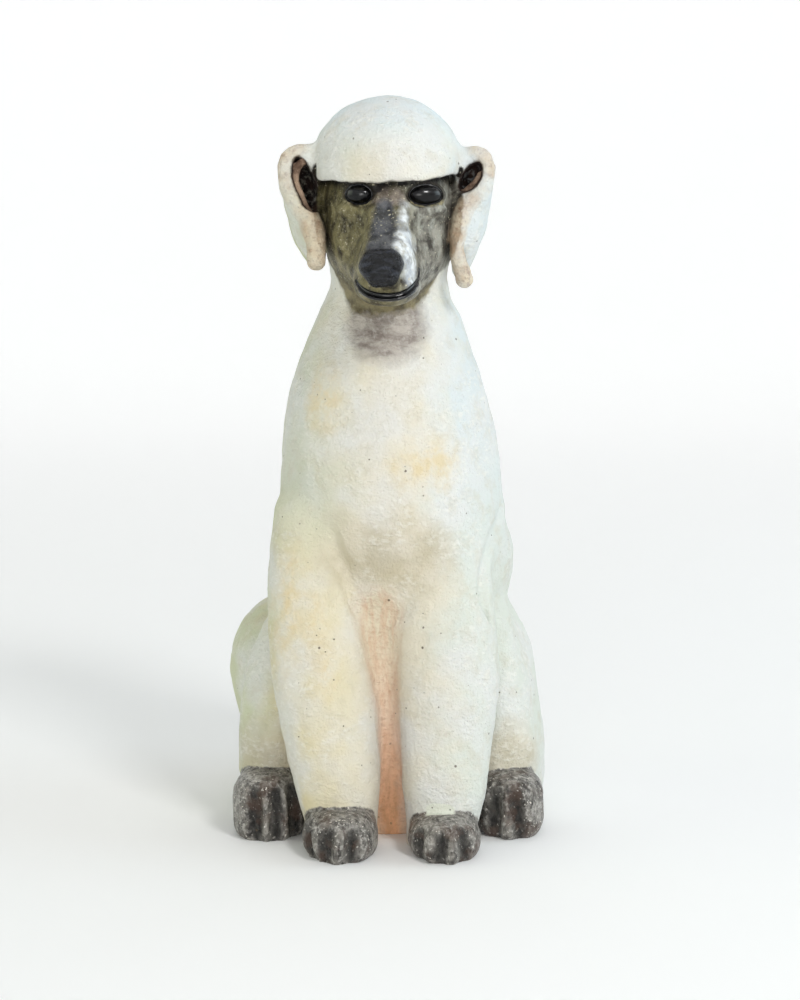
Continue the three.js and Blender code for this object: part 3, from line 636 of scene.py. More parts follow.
# Light olive strokes on the dog's right side of the face: the one down the edge of the muzzle is a
# painted highlight, the other a streak on the cheek.
OLIVE_STREAKS_AND_HIGHLIGHT = [
    dict(start=(-12.5, -60, 301), end=(-14, -80, 275), radii=(1.6, 3)),
    dict(start=(-24, -50, 297), end=(-21.5, -60, 279), radii=(1.2, 2)),
]
EYE_CORNERS = [
    dict(start=(-8, -53.5, 310.6), end=(-3.6, -57, 311.4), radii=(2.8, 1.2)),
    dict(start=(24, -45, 311), end=(26.4, -43, 313), radii=(2, 1.2)),
]
# Painted shade, with a greenish cast from the light on that side, on the outer face of the dog's
# right ear flap.
RIGHT_FLAP_SHADE = dict(start=(-49, -14, 313), end=(-43, -14, 280), radii=(6, 8))
THROAT = dict(at=(-0.5, -46, 250), radii=(20.5, 16, 19))
SLOT = dict(start=(2, -38, 0), end=(-4, -44, 112), radii=(8, 13))
OCHRE = [
    dict(at=(22, -58, 184), radii=(20, 16, 12)),
    dict(at=(-32, -44, 214), radii=(12, 14, 16)),
    dict(at=(-34, -62, 110), radii=(6, 12, 14)),
    dict(at=(-29, -64, 88), radii=(6, 12, 13)),
    dict(at=(-46, -52, 112), radii=(9, 12, 34)),
]
# Places of painted shade, in beige: beside each hind paw and under the chest.
SHADE_PATCHES = [
    dict(at=(-58, -30, 36), radii=(18, 20, 13)),
    dict(at=(60, -28, 36), radii=(17, 20, 13)),
    dict(at=(0, -62, 140), radii=(32, 20, 18)),
]
WHITE_PATCH = dict(at=(23.5, -69.5, 21), radii=(8.5, 3, 2.6))


def under_brow(form):
    return lambda p: np.maximum(form(p), over_brow(p) - 0.5)


def zones():
    ear_edges = [roll(side['edge'], 2 * len(side['edge']) - 3) for side in (RIGHT_EAR, LEFT_EAR)]
    return {
        'face': join(1, under_brow(bar(**FACE_WASH)), *(bar(**side) for side in TEMPLES)),
        'jaw': join(2, *(bar(**stroke) for stroke in JAW_WASH)),
        'under_brow': lambda p: -over_brow(p),
        'cap': cap(),
        'slate': bar(**SLATE_BAND),
        'mauve_bridge': ellipsoid(**MAUVE_BRIDGE),
        'olive_streaks_and_highlight': join(0.5, *(bar(**streak) for streak in OLIVE_STREAKS_AND_HIGHLIGHT)),
        'thin_wash_sheen': join(3, *(bar(**stroke) for stroke in THIN_WASH_SHEEN)),
        'eye_corners': join(0.5, *(bar(**corner) for corner in EYE_CORNERS)),
        'throat': ellipsoid(**THROAT),
        'nose': nose(),
        'eyes': join(0.1, *(eye_ball(**eye) for eye in EYES)),
        'lip': join(0.1, along_mouth(**LIP), along_mouth(**MOUTH_CUT)),
        'ear_edges': join(0.1, *ear_edges),
        'right_flap': bar(**RIGHT_FLAP_SHADE),
        'ear_hollows': join(0.1, ellipsoid(**RIGHT_EAR_HOLLOW), ellipsoid(**LEFT_EAR_HOLLOW)),
        'ear_folds': join(0.1, roll(RIGHT_INNER_FOLD, 8), roll(LEFT_INNER_FOLD, 6)),
        'white_patch': ellipsoid(**WHITE_PATCH),
        'paws': join(0.1, *(paw(**foot) for foot in PAWS)),
        'toe_lines': join(0.1, *(toe_lines(**foot) for foot in PAWS)),
        'slot': bar(**SLOT),
        'ochre': join(4, *(ellipsoid(**patch) for patch in OCHRE)),
        'shade_patches': join(4, *(ellipsoid(**patch) for patch in SHADE_PATCHES)),
    }


def noise(points, size, seed):
    """Smooth values from -1 to 1 that change over a size in millimetres."""
    lattice = np.random.default_rng(seed).uniform(-1, 1, (32, 32, 32))
    at = points / size
    low = np.floor(at).astype(int)
    f = at - low
    f = f * f * (3 - 2 * f)
    total = np.zeros(len(points))
    for i in (0, 1):
        for j in (0, 1):
            for k in (0, 1):
                weight = np.prod(np.where((i, j, k), f, 1 - f), 1)
                x, y, z = ((low + (i, j, k)) % 32).T
                total += weight * lattice[x, y, z]
    return total


def facets(points, size, seed):
    """Flat patches left by a paddle: how far each point lies off the patch it is on."""
    random = np.random.default_rng(seed)
    spots = random.uniform(0, 1, (16, 16, 16, 3))
    slopes = random.uniform(-1, 1, (16, 16, 16, 3))
    at = points / size
    low = np.floor(at).astype(int)
    nearest = np.full(len(points), 9.0)
    lift = np.zeros(len(points))
    for i in (-1, 0, 1):
        for j in (-1, 0, 1):
            for k in (-1, 0, 1):
                cell = low + (i, j, k)
                x, y, z = (cell % 16).T
                away = at - cell - spots[x, y, z]
                far = (away * away).sum(1)
                closer = far < nearest
                nearest = np.where(closer, far, nearest)
                lift = np.where(closer, (away * slopes[x, y, z]).sum(1), lift)
    return lift


def scraped(points, size, seed):
    """Noise drawn out sideways, as a tool leaves it."""
    return noise(points * (0.45, 0.45, 1.2), size, seed)


def relief(points, distance):
    """Height of the hand-worked surface over the plain form."""
    soft = np.clip(distance['eyes'] / 1.5, 0, 1) * np.clip(distance['lip'] / 1.5, 0.15, 1)
    soft *= np.clip(distance['nose'] / 1.5, 0.2, 1)
    face = np.clip(1 - distance['face'] / 3, 0, 1)
    body = 1 - face
    wide = 0.5 * noise(points, 30, 1) + 0.3 * noise(points, 14, 2)
    dabs = 0.3 * scraped(points, 7, 3) + 0.24 * scraped(points, 3.4, 4) + 0.1 * noise(points, 2, 5)
    paddled = 0.9 * facets(points + 3 * noise(points, 9, 6)[:, None], 19, 7)
    return soft * (body * (wide + 0.35 * paddled) + 0.35 * face * wide + dabs)


def build():
    field = dog()
    values, origin = sample(field)
    mesh = thinned(*surface_net(values, origin))
    refine_face(mesh)
    settle(mesh, field)
    points = vertices_of(mesh)
    middle = (points.min(0) + points.max(0)) / 2
    rows = points.T.copy()
    distance = {name: evaluate(form, rows) for name, form in zones().items()}
    raised = relief(points, distance) * (points[:, 2] > 0)
    moved = points + raised[:, None] * vertices_of(mesh, 'normal')
    moved[:, 2] = np.maximum(moved[:, 2], 0)
    moved[:, :2] -= middle[:2]
    mesh.vertices.foreach_set('co', (moved * 0.001).ravel())
    for name, values in distance.items():
        attribute = mesh.attributes.new(name, 'FLOAT', 'POINT')
        attribute.data.foreach_set('value', values.astype(np.float32))
    mesh.polygons.foreach_set('use_smooth', [True] * len(mesh.polygons))
    mesh.update()
    obj = bpy.data.objects.new('dog_clay', mesh)
    bpy.context.scene.collection.objects.link(obj)
    return obj, middle


# Material. Its colour is painted in the order in which the potter would lay it on: slip, then
# the washes over it, then the glossy black, with specks and pinholes over all but the black.
# Painted light and shade are laid into several of these layers as well.

def rgb(red, green_shade, blue):
    """Colour from the usual 0 to 255 scale to the linear one that the nodes use."""
    scaled = [c / 255 for c in (red, green_shade, blue)]
    return (*(c / 12.92 if c < 0.04 else ((c + 0.055) / 1.055) ** 2.4 for c in scaled), 1)


class Clay:
    """Material of the clay, with short ways to add nodes to it."""

    def __init__(self, name):
        self.material = bpy.data.materials.new(name)
        self.material.use_nodes = True
        self.tree = self.material.node_tree
        self.shader = self.tree.nodes['Principled BSDF']
        self.place = self.node('ShaderNodeTexCoord').outputs['Object']
        split = self.node('ShaderNodeSeparateXYZ', {0: self.place})
        self.across = split.outputs['X']
        self.height = split.outputs['Z']
        self.cloud = self.noise(34, 2.0)
        self.small = self.noise(9, 4.0)
        self.fine = self.noise(2.2, 4.0)

    def node(self, kind, inputs=None, **settings):
        node = self.tree.nodes.new(kind)
        for name, value in settings.items():
            setattr(node, name, value)
        for name, value in (inputs or {}).items():
            self.feed(value, node.inputs[name])
        return node

    def feed(self, value, socket):
        if isinstance(value, bpy.types.NodeSocket):
            self.tree.links.new(value, socket)
        else:
            socket.default_value = value

    def math(self, operation, *values):
        return self.node('ShaderNodeMath', dict(enumerate(values)), operation=operation).outputs[0]

    def distance(self, zone):
        return self.node('ShaderNodeAttribute', attribute_name=zone).outputs['Fac']

    def stretched(self, stretch):
        scale = {0: self.place, 1: stretch}
        return self.node('ShaderNodeVectorMath', scale, operation='MULTIPLY').outputs[0]

    def noise(self, size, detail=3.0, stretch=None):
        """Cloudy values round 0.5 with features of a size in millimetres."""
        at = self.stretched(stretch) if stretch else self.place
        inputs = {'Vector': at, 'Scale': 1000 / size, 'Detail': detail, 'Roughness': 0.6}
        return self.node('ShaderNodeTexNoise', inputs).outputs['Fac']

    def cells(self, size):
        """Distance to scattered spots, in millimetres, and a random number for each spot."""
        inputs = {'Vector': self.place, 'Scale': 1000 / size}
        spots = self.node('ShaderNodeTexVoronoi', inputs)
        distance = self.math('MULTIPLY', spots.outputs['Distance'], size)
        number = self.node('ShaderNodeSeparateColor', {'Color': spots.outputs['Color']})
        return distance, number.outputs['Red']

    def ramp(self, value, low, high, start=0.0, end=1.0):
        inputs = {'Value': value, 'From Min': low, 'From Max': high, 'To Min': start, 'To Max': end}
        return self.node('ShaderNodeMapRange', inputs).outputs['Result']

    def ragged(self, zone, reach, fray, size, soft=0.3):
        """One within reach of a zone and zero outside, with an edge frayed by noise."""
        uneven = self.math('MULTIPLY_ADD', self.noise(size), 2 * fray, -fray)
        distance = self.math('ADD', self.distance(zone), uneven)
        return self.ramp(distance, reach - soft, reach + soft, 1.0, 0.0)

    def spots(self, size, radius, share):
        """One on scattered round spots of a radius, which a share of the cells have."""
        distance, number = self.cells(size)
        chosen = self.math('LESS_THAN', number, share)
        return self.math('MULTIPLY', self.ramp(distance, radius * 0.6, radius, 1.0, 0.0), chosen)

    def mix(self, factor, a, b):
        node = self.tree.nodes.new('ShaderNodeMix')
        node.data_type = 'RGBA'
        for value, index in ((factor, 0), (a, 6), (b, 7)):
            self.feed(value, node.inputs[index])
        return node.outputs[2]

    def mix_number(self, factor, a, b):
        node = self.tree.nodes.new('ShaderNodeMix')
        for value, index in ((factor, 0), (a, 2), (b, 3)):
            self.feed(value, node.inputs[index])
        return node.outputs[0]

    def both(self, a, b):
        return self.math('MULTIPLY', a, b)

    def shades(self, value, low, high, first, second):
        """First colour where a value is low, turning into the second where it is high."""
        return self.mix(self.ramp(value, low, high), first, second)

    def touched(self, colour, value, low, high, strength, tone):
        """Colour with a tone laid over it where a value is high."""
        return self.mix(self.ramp(value, low, high, 0.0, strength), colour, tone)

    def ridges(self, size):
        """One on thin winding lines, where cloudy values pass their middle."""
        away = self.math('ABSOLUTE', self.math('SUBTRACT', self.noise(size, 2.0), 0.5))
        return self.ramp(away, 0.004, 0.012, 1.0, 0.0)


def thick_slip(clay):
    """One on blobs and short ridges of slip, thick in some places and smoothed away in others."""
    blobs = clay.ramp(clay.noise(3.0, 3.0, (0.8, 1.0, 1.4)), 0.44, 0.66)
    return clay.both(blobs, clay.ramp(clay.noise(36, 2.0), 0.4, 0.54, 0.25, 1.0))


def slip(clay, crust):
    """Cream slip, thin in places, with painted light: greener on the dog's right side and bluer on
    its left and on top of the head; painted shade under the chest and by the hind paws; and a paler
    tone on the thick slip that is partly a painted highlight.
    """
    wander = clay.math('MULTIPLY_ADD', clay.noise(26, 3.0), 0.05, -0.025)
    across = clay.math('ADD', clay.across, wander)
    # Painted coloured light on the sides: greenish on the dog's right side, yellow low down and
    # greenish grey higher up near it, cream in the middle, and pale blue on its left side.
    lit_tint = clay.shades(clay.height, 0.12, 0.17, rgb(222, 211, 174), rgb(210, 212, 194))
    lit_tint = clay.shades(across, -0.066, -0.048, rgb(208, 211, 182), lit_tint)
    lit_tint = clay.shades(across, -0.04, -0.012, lit_tint, rgb(228, 221, 203))
    bluer = clay.shades(clay.height, 0.12, 0.2, rgb(218, 222, 213), rgb(217, 224, 225))
    lit_tint = clay.shades(across, 0.016, 0.036, lit_tint, bluer)
    # Painted light from above: pale blue on the top of the head.
    lit_tint = clay.shades(clay.height, 0.325, 0.345, lit_tint, rgb(220, 231, 234))
    colour = clay.touched(lit_tint, clay.cloud, 0.42, 0.62, 0.7, rgb(226, 226, 224))
    # Painted shade: beige where shade falls beside the hind paws and under the chest.
    shade_tan = clay.shades(clay.noise(16, 4.0), 0.4, 0.6, rgb(214, 204, 182), rgb(190, 178, 148))
    colour = clay.mix(clay.both(clay.ragged('shade_patches', 2, 9, 14, 7), 0.7), colour, shade_tan)
    colour = clay.touched(colour, clay.small, 0.5, 0.66, 0.3, rgb(202, 194, 172))
    # Paler on the thick slip: partly the slip's own colour, partly a painted highlight on its
    # raised blobs.
    colour = clay.touched(colour, crust, 0.3, 0.9, 0.4, rgb(240, 238, 230))
    dabs = clay.ramp(clay.small, 0.36, 0.6, 0.15, 0.65)
    ochre = clay.both(clay.ragged('ochre', -2, 7, 10, 7), dabs)
    return clay.mix(ochre, colour, rgb(228, 206, 156))


def bare_clay(clay):
    """Reddish clay deep between the forelegs, more orange towards the floor."""
    streaks = clay.noise(5, 4.0, (1.6, 1.6, 0.3))
    colour = clay.shades(clay.height, 0.01, 0.06, rgb(246, 190, 146), rgb(236, 206, 182))
    colour = clay.shades(clay.height, 0.05, 0.1, colour, rgb(224, 212, 188))
    colour = clay.touched(colour, streaks, 0.45, 0.62, 0.4, rgb(206, 160, 126))
    return clay.touched(colour, clay.fine, 0.5, 0.75, 0.4, rgb(176, 120, 84))


def throat_wash(clay):
    """Mottled grey and brown where the wash has run thin."""
    smears = clay.noise(8, 4.0, (0.7, 1.0, 1.5))
    colour = clay.shades(smears, 0.38, 0.62, rgb(122, 110, 104), rgb(184, 176, 168))
    return clay.touched(colour, clay.fine, 0.5, 0.66, 0.5, rgb(206, 200, 192))


def body_colour(clay, crust):
    """Slip, bare clay between the forelegs, and thin wash on the throat and under the jaw."""
    colour = slip(clay, crust)
    colour = clay.mix(clay.ragged('slot', -1, 3, 8, 5), colour, bare_clay(clay))
    throat = clay.both(clay.ragged('throat', 0.5, 5, 9, 4), 0.92)
    colour = clay.mix(throat, colour, throat_wash(clay))
    jaw = clay.both(clay.ragged('jaw', 1, 2, 4, 1.4), 0.92)
    olive = clay.shades(clay.small, 0.4, 0.6, rgb(70, 62, 42), rgb(136, 126, 92))
    return clay.mix(jaw, colour, olive)


def face_ground(clay, blotches, wisps):
    """Olive-brown wash on the dog's right side of the face, and grey on its left."""
    olive = clay.shades(blotches, 0.38, 0.62, rgb(48, 42, 26), rgb(122, 115, 80))
    olive = clay.touched(olive, wisps, 0.5, 0.66, 0.7, rgb(152, 144, 108))
    grey = clay.shades(blotches, 0.38, 0.62, rgb(62, 57, 50), rgb(158, 155, 144))
    grey = clay.touched(grey, wisps, 0.5, 0.66, 0.7, rgb(178, 180, 170))
    colour = clay.shades(clay.across, 0.002, 0.016, olive, grey)
    # Light olive strokes, one of them a painted highlight down the edge of the muzzle.
    broken = clay.ramp(wisps, 0.4, 0.55, 0.3, 0.9)
    streaks = clay.both(clay.ragged('olive_streaks_and_highlight', 0, 2.4, 4, 1.6), broken)
    return clay.mix(streaks, colour, rgb(168, 162, 120))


def muzzle_wash(clay, colour, blotches, wisps):
    """Mauve between the eyes and slate down the muzzle, thin on one side of it with a pale painted
    highlight there.
    """
    mauve = clay.shades(wisps, 0.4, 0.6, rgb(86, 76, 68), rgb(138, 126, 118))
    colour = clay.mix(clay.both(clay.ragged('mauve_bridge', 0, 2, 5, 1.5), 0.8), colour, mauve)
    slate = clay.shades(wisps, 0.38, 0.62, rgb(44, 46, 52), rgb(94, 96, 102))
    colour = clay.mix(clay.both(clay.ragged('slate', 0, 1.6, 5, 1.2), 0.92), colour, slate)
    # Partly thin wash and partly a painted highlight: pale blue-grey on the side of the muzzle that
    # faces the key light.
    pale = clay.shades(clay.noise(10, 3.0), 0.36, 0.56, rgb(176, 182, 190), rgb(240, 244, 246))
    pale = clay.touched(pale, blotches, 0.5, 0.62, 0.55, rgb(150, 144, 124))
    broken = clay.ramp(wisps, 0.32, 0.5, 0.2, 1.0)
    rubbed_and_highlit = clay.both(clay.ragged('thin_wash_sheen', 0, 4.5, 6, 2.6), broken)
    return clay.mix(rubbed_and_highlit, colour, pale)


def face_wash(clay):
    """Wash of the face, with painted shadow under the brow line and painted shade beside the ears,
    scratched and flecked.
    """
    blotches = clay.noise(7, 5.0)
    wisps = clay.noise(5, 5.0, (1.2, 1.0, 0.7))
    colour = muzzle_wash(clay, face_ground(clay, blotches, wisps), blotches, wisps)
    # Painted shadow: near black under the overhang of the brow line.
    below_brow = clay.ramp(clay.distance('under_brow'), 1.4, 4.6, 1.0, 0.0)
    shade = clay.both(below_brow, clay.ramp(clay.small, 0.36, 0.5, 0.5, 1.0))
    colour = clay.mix(shade, colour, rgb(18, 14, 10))
    # Painted shade: dark brown in the creases where the ear edges meet the face.
    beside_ears = clay.ramp(clay.distance('ear_edges'), 1.6, 6, 0.9, 0.0)
    colour = clay.mix(beside_ears, colour, rgb(32, 26, 20))
    scratches = clay.both(clay.ridges(4.5), clay.ramp(clay.fine, 0.5, 0.6))
    colour = clay.mix(clay.both(scratches, 0.55), colour, rgb(206, 200, 178))
    return clay.touched(colour, clay.noise(1.4, 1.0), 0.68, 0.74, 0.7, rgb(214, 206, 182))


def with_ears(clay, colour, hollows):
    """Painted greenish grey shade on one flap, rolled edges in peach with brown streaks, and
    painted shade in the hollows.
    """
    # Painted shade, greenish grey, on the outer face of the dog's right ear flap.
    flap = clay.both(clay.ragged('right_flap', 1, 2, 8, 2), 0.85)
    green_shade = clay.shades(clay.small, 0.4, 0.62, rgb(172, 176, 134), rgb(206, 208, 174))
    colour = clay.mix(flap, colour, green_shade)
    off_cap = clay.ramp(clay.distance('cap'), 1, 7)
    edges = clay.both(clay.ragged('ear_edges', 0.5, 1.4, 6, 1.2), off_cap)
    peach = clay.shades(clay.small, 0.4, 0.62, rgb(220, 205, 178), rgb(192, 166, 138))
    peach = clay.touched(peach, clay.fine, 0.52, 0.66, 0.75, rgb(150, 118, 94))
    colour = clay.mix(edges, colour, peach)
    # Painted shade: dark brown deep in the ear hollows.
    hollow_shade = clay.shades(clay.small, 0.4, 0.6, rgb(24, 15, 12), rgb(66, 46, 38))
    colour = clay.mix(hollows, colour, hollow_shade)
    brown = clay.shades(clay.small, 0.4, 0.6, rgb(104, 82, 68), rgb(178, 152, 130))
    return clay.mix(clay.ragged('ear_folds', 0.5, 0.5, 3, 0.4), colour, brown)


def paw_wash(clay):
    """Near-black wash with brown in it, painted shade in the grooves between the toes, a paler tone
    on the toes that is partly wear and partly a painted highlight, and pale grog showing through in
    ragged flecks.
    """
    crowns = clay.ramp(clay.distance('toe_lines'), 0.2, 3.2)
    streaks = clay.noise(3.6, 5.0, (1.3, 1.3, 0.5))
    colour = clay.shades(streaks, 0.38, 0.6, rgb(64, 61, 58), rgb(150, 146, 139))
    colour = clay.touched(colour, clay.small, 0.46, 0.6, 0.4, rgb(64, 60, 56))
    # Painted shade: near black in the grooves between the toes.
    colour = clay.mix(crowns, rgb(8, 7, 6), colour)
    # Paler on the tops of the toes: partly wear, partly a painted highlight.
    rubbed_and_highlit = clay.both(clay.ramp(clay.fine, 0.5, 0.66, 0.0, 0.85), clay.both(crowns, crowns))
    colour = clay.mix(rubbed_and_highlit, colour, rgb(188, 184, 178))
    colour = clay.touched(colour, clay.noise(13, 3.0), 0.52, 0.62, 0.5, rgb(84, 62, 50))
    flecks = clay.both(clay.ramp(clay.noise(1.5, 1.0), 0.67, 0.72), crowns)
    return clay.mix(flecks, colour, rgb(226, 220, 210))


def nose_colour(clay):
    """Scuffed black, with a painted grey-blue highlight beside the pale part of the muzzle."""
    scuffs = clay.noise(3.4, 4.0, (0.45, 1.0, 1.7))
    black = clay.shades(scuffs, 0.46, 0.66, rgb(9, 9, 12), rgb(48, 51, 60))
    # Painted highlight: grey-blue on the side of the nose next to the pale part of the muzzle.
    beside = clay.ramp(clay.distance('thin_wash_sheen'), 4, -1)
    paled = clay.both(beside, clay.ramp(clay.small, 0.4, 0.6, 0.2, 0.8))
    return clay.mix(paled, black, rgb(112, 122, 136))


def with_lids(clay, colour):
    """Dark inner corners, painted shade on the lids round the eyes, and a pale edge below them
    where the wash has come away.
    """
    corners = clay.both(clay.ragged('eye_corners', 0.2, 0.6, 2, 0.4), 0.9)
    colour = clay.mix(corners, colour, rgb(26, 22, 24))
    # Painted shade: dark lids all round the eyes.
    lids = clay.both(clay.ragged('eyes', 2.0, 0.8, 2, 0.6), 0.8)
    colour = clay.mix(lids, colour, rgb(34, 28, 20))
    below = clay.ramp(clay.height, 0.3055, 0.307, 1.0, 0.0)
    lower_lids = clay.both(clay.ragged('eyes', 2.2, 0.6, 2, 0.4), below)
    paled = clay.both(lower_lids, clay.ramp(clay.fine, 0.44, 0.56))
    return clay.mix(paled, colour, rgb(150, 142, 110))


def finished_parts(clay):
    """Masks of the parts that have a finish of their own."""
    eyes = clay.ragged('eyes', 0.7, 0.4, 3, 0.2)
    lips = clay.ragged('lip', 0.35, 0.5, 3, 0.2)
    return SimpleNamespace(
        face=clay.ragged('face', 0, 1.6, 5, 0.5),
        hollows=clay.ragged('ear_hollows', 0.4, 0.7, 3, 0.4),
        paws=clay.ragged('paws', 0.9, 1.3, 4, 0.3),
        nose=clay.ragged('nose', 0.4, 0.5, 3, 0.2),
        eyes=eyes,
        lips=lips,
        gloss=clay.math('MAXIMUM', eyes, lips),
    )


def speckles(clay, gloss):
    """One on dark specks and pinholes, everywhere but on the glossy black."""
    specks = clay.math('MAXIMUM', clay.spots(4.2, 0.5, 0.16), clay.spots(8, 0.75, 0.22))
    specks = clay.both(specks, clay.ramp(clay.fine, 0.42, 0.5))
    return clay.both(specks, clay.math('SUBTRACT', 1.0, gloss))


def painted(clay, crust, parts, specks):
    colour = body_colour(clay, crust)
    colour = clay.mix(parts.face, colour, face_wash(clay))
    colour = with_ears(clay, colour, parts.hollows)
    colour = clay.mix(parts.paws, colour, paw_wash(clay))
    white_patch = clay.ragged('white_patch', 0.6, 0.8, 3, 0.4)
    colour = clay.mix(white_patch, colour, rgb(226, 228, 214))
    colour = clay.mix(parts.nose, colour, nose_colour(clay))
    colour = with_lids(clay, colour)
    colour = clay.mix(parts.gloss, colour, rgb(4, 4, 6))
    return clay.mix(clay.both(specks, 0.8), colour, rgb(84, 70, 54))


def roughness(clay, parts):
    """Dry slip, waxier washes on the face, the paws and the nose, and wet eyes and lips."""
    def patchy(low, high):
        return clay.ramp(clay.small, 0.3, 0.7, low, high)
    rough = clay.mix_number(parts.face, patchy(0.72, 0.88), patchy(0.36, 0.55))
    rough = clay.mix_number(parts.paws, rough, patchy(0.26, 0.42))
    rough = clay.mix_number(parts.nose, rough, patchy(0.2, 0.36))
    rough = clay.mix_number(parts.gloss, rough, 0.22)
    return clay.mix_number(parts.hollows, rough, 0.85)


def texture(clay, crust, parts, specks):
    """Height of the finest texture in millimetres: sandy grit, grains of grog and pinholes."""
    grit = clay.math('ADD', clay.fine, clay.both(clay.noise(1.1, 3.0), 0.5))
    bare = clay.math('SUBTRACT', 1.0, clay.math('MAXIMUM', parts.face, parts.paws))
    grit = clay.math('ADD', grit, clay.both(clay.both(crust, bare), 0.3))
    grains = clay.ramp(clay.cells(2.6)[0], 0.0, 1.0, 0.16, 0.0)
    holes = clay.both(specks, -0.3)
    height = clay.math('ADD', clay.math('ADD', grit, grains), holes)
    return clay.both(height, clay.ramp(parts.gloss, 0.0, 1.0, 1.0, 0.06))


def clay_material():
    clay = Clay('slipped_clay')
    crust = thick_slip(clay)
    parts = finished_parts(clay)
    specks = speckles(clay, parts.gloss)
    height = texture(clay, crust, parts, specks)
    bump = clay.node('ShaderNodeBump', {'Height': height, 'Distance': 0.001, 'Strength': 1.0})

    # The upper half of each eye is wettest, and the lips a little less so.
    wet_eyes = clay.both(parts.eyes, clay.ramp(clay.height, 0.3085, 0.312, 0.0, 0.9))
    coat = clay.math('MAXIMUM', wet_eyes, clay.both(parts.lips, 0.6))

    inputs = clay.shader.inputs
    clay.feed(painted(clay, crust, parts, specks), inputs['Base Color'])
    clay.feed(roughness(clay, parts), inputs['Roughness'])
    clay.feed(bump.outputs['Normal'], inputs['Normal'])
    clay.feed(coat, inputs['Coat Weight'])
    inputs['Specular IOR Level'].default_value = 0.3
    inputs['Coat Roughness'].default_value = 0.05
    return clay.material


# Studio, in metres: a pale floor that curves up all round, soft lights that face the dog, and
# the camera. The floor glows a little towards the back, as a lit backdrop does.
FLOOR_RADIUS = 2.6
FLOOR_BEND = 0.9
FLOOR_SIDES = 96
FLOOR_GREY = 0.91
FLOOR_GLOW = {'From Min': 0.1, 'From Max': 2.0, 'To Min': 0.0, 'To Max': 0.27}
LIT_PLACE = (0, 0, 0.18)
LIGHTS = [
    dict(name='key', place=(0.8, -1.3, 1.4), size=0.4, power=14, colour=(0.98, 0.98, 0.97)),
    dict(name='fill', place=(-0.1, -1.8, 0.4), size=0.7, power=6.5, colour=(1.0, 0.99, 0.96)),
    dict(name='left', place=(-1.5, -0.1, 0.6), size=1.0, power=3, colour=(0.85, 1.0, 0.72)),
    dict(name='right', place=(1.5, 0.0, 0.7), size=1.0, power=6.5, colour=(0.74, 0.92, 1.0)),
    dict(name='top', place=(0.1, 0.4, 2.0), size=1.2, power=5, colour=(1.0, 1.0, 1.0)),
]
AMBIENT = 0.35

# Camera: place in millimetres, degrees that it looks down, and lens and picture height in
# millimetres.
CAMERA_AT = (6, -1150, 325)
CAMERA_DOWN = 8.209
LENS = 84.846
PICTURE_HEIGHT = 36


def floor_mesh():
    """Surface of revolution, flat under the dog and turned up into a wall far from it."""
    profile = [(0.0, 0.0), (0.6, 0.0), (1.2, 0.0)]
    for n in range(13):
        angle = math.pi / 2 * n / 12
        out = FLOOR_RADIUS - FLOOR_BEND + FLOOR_BEND * math.sin(angle)
        profile.append((out, FLOOR_BEND - FLOOR_BEND * math.cos(angle)))
    profile.append((FLOOR_RADIUS, FLOOR_RADIUS))
    points = [(0, 0, 0)]
    for r, z in profile[1:]:
        for n in range(FLOOR_SIDES):
            around = 2 * math.pi * n / FLOOR_SIDES
            points.append((r * math.cos(around), r * math.sin(around), z))
    faces = [(0, 1 + n, 1 + (n + 1) % FLOOR_SIDES) for n in range(FLOOR_SIDES)]
    for ring in range(len(profile) - 2):
        for n in range(FLOOR_SIDES):
            a = 1 + ring * FLOOR_SIDES + n
            b = 1 + ring * FLOOR_SIDES + (n + 1) % FLOOR_SIDES
            faces.append((a, a + FLOOR_SIDES, b + FLOOR_SIDES, b))
    mesh = bpy.data.meshes.new('floor')
    mesh.from_pydata(points, [], faces)
    mesh.polygons.foreach_set('use_smooth', [True] * len(mesh.polygons))
    return mesh


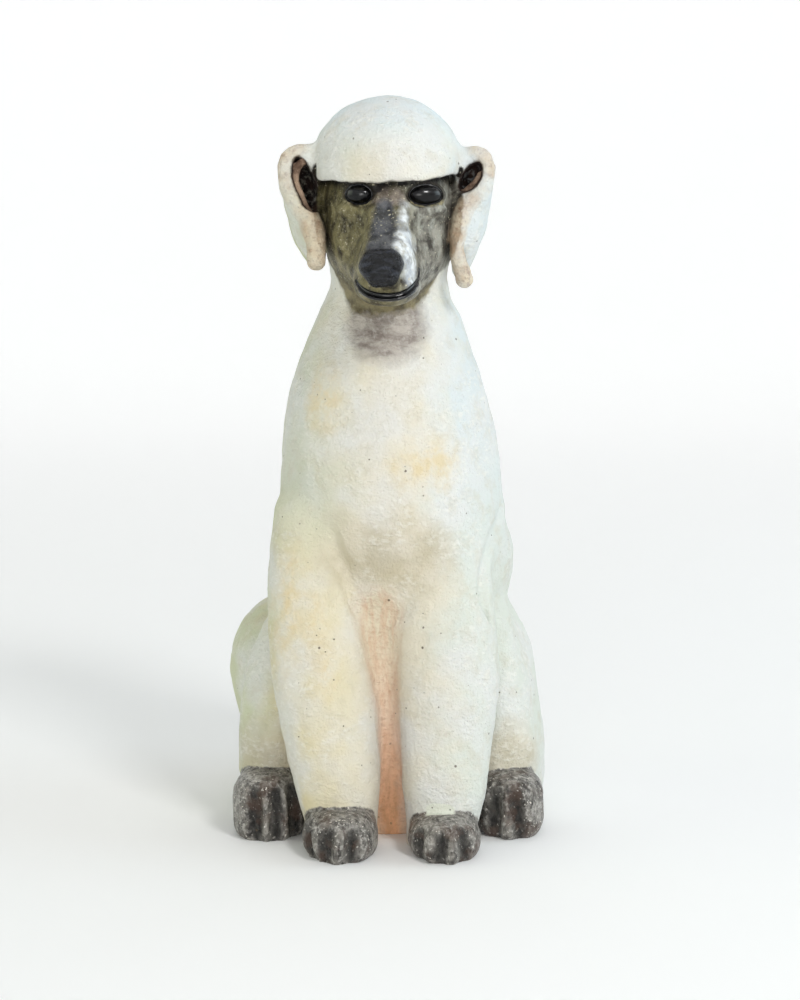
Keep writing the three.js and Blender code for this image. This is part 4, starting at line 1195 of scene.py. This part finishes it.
def floor_material():
    material = bpy.data.materials.new('pale_floor')
    material.use_nodes = True
    tree = material.node_tree
    shader = tree.nodes['Principled BSDF']
    shader.inputs['Base Color'].default_value = (FLOOR_GREY, FLOOR_GREY, FLOOR_GREY, 1)
    shader.inputs['Roughness'].default_value = 0.9
    shader.inputs['Emission Color'].default_value = (1, 1, 1, 1)
    place = tree.nodes.new('ShaderNodeTexCoord')
    split = tree.nodes.new('ShaderNodeSeparateXYZ')
    glow = tree.nodes.new('ShaderNodeMapRange')
    for name, value in FLOOR_GLOW.items():
        glow.inputs[name].default_value = value
    tree.links.new(place.outputs['Object'], split.inputs[0])
    tree.links.new(split.outputs['Y'], glow.inputs['Value'])
    tree.links.new(glow.outputs['Result'], shader.inputs['Emission Strength'])
    return material


def floor():
    mesh = floor_mesh()
    mesh.materials.append(floor_material())
    obj = bpy.data.objects.new('floor', mesh)
    bpy.context.scene.collection.objects.link(obj)


def light(name, place, size, power, colour):
    lamp = bpy.data.lights.new(name, 'AREA')
    lamp.size = size
    lamp.energy = power
    lamp.color = colour
    obj = bpy.data.objects.new(name, lamp)
    obj.location = place
    aim = Vector(LIT_PLACE) - Vector(place)
    obj.rotation_euler = aim.to_track_quat('-Z', 'Y').to_euler()
    bpy.context.scene.collection.objects.link(obj)


def world():
    surroundings = bpy.data.worlds.new('studio')
    surroundings.use_nodes = True
    background = surroundings.node_tree.nodes['Background']
    background.inputs['Color'].default_value = (1, 1, 1, 1)
    background.inputs['Strength'].default_value = AMBIENT
    bpy.context.scene.world = surroundings


def camera(middle):
    """Camera placed from the middle of the form as it was before it was centred."""
    data = bpy.data.cameras.new('camera')
    data.sensor_width = PICTURE_HEIGHT
    data.sensor_fit = 'VERTICAL'
    data.sensor_height = PICTURE_HEIGHT
    data.lens = LENS
    data.clip_start = 0.01
    obj = bpy.data.objects.new('camera', data)
    x, y, z = CAMERA_AT
    obj.location = ((x - middle[0]) / 1000, (y - middle[1]) / 1000, z / 1000)
    obj.rotation_euler = (math.radians(90 - CAMERA_DOWN), 0, 0)
    bpy.context.scene.collection.objects.link(obj)
    bpy.context.scene.camera = obj
    bpy.context.scene.view_settings.view_transform = 'Standard'


dog_object, middle_of_form = build()
dog_object.data.materials.append(clay_material())
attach(dog_object, 'root')
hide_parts('dog')
floor()
for lamp in LIGHTS:
    light(**lamp)
world()
camera(middle_of_form)
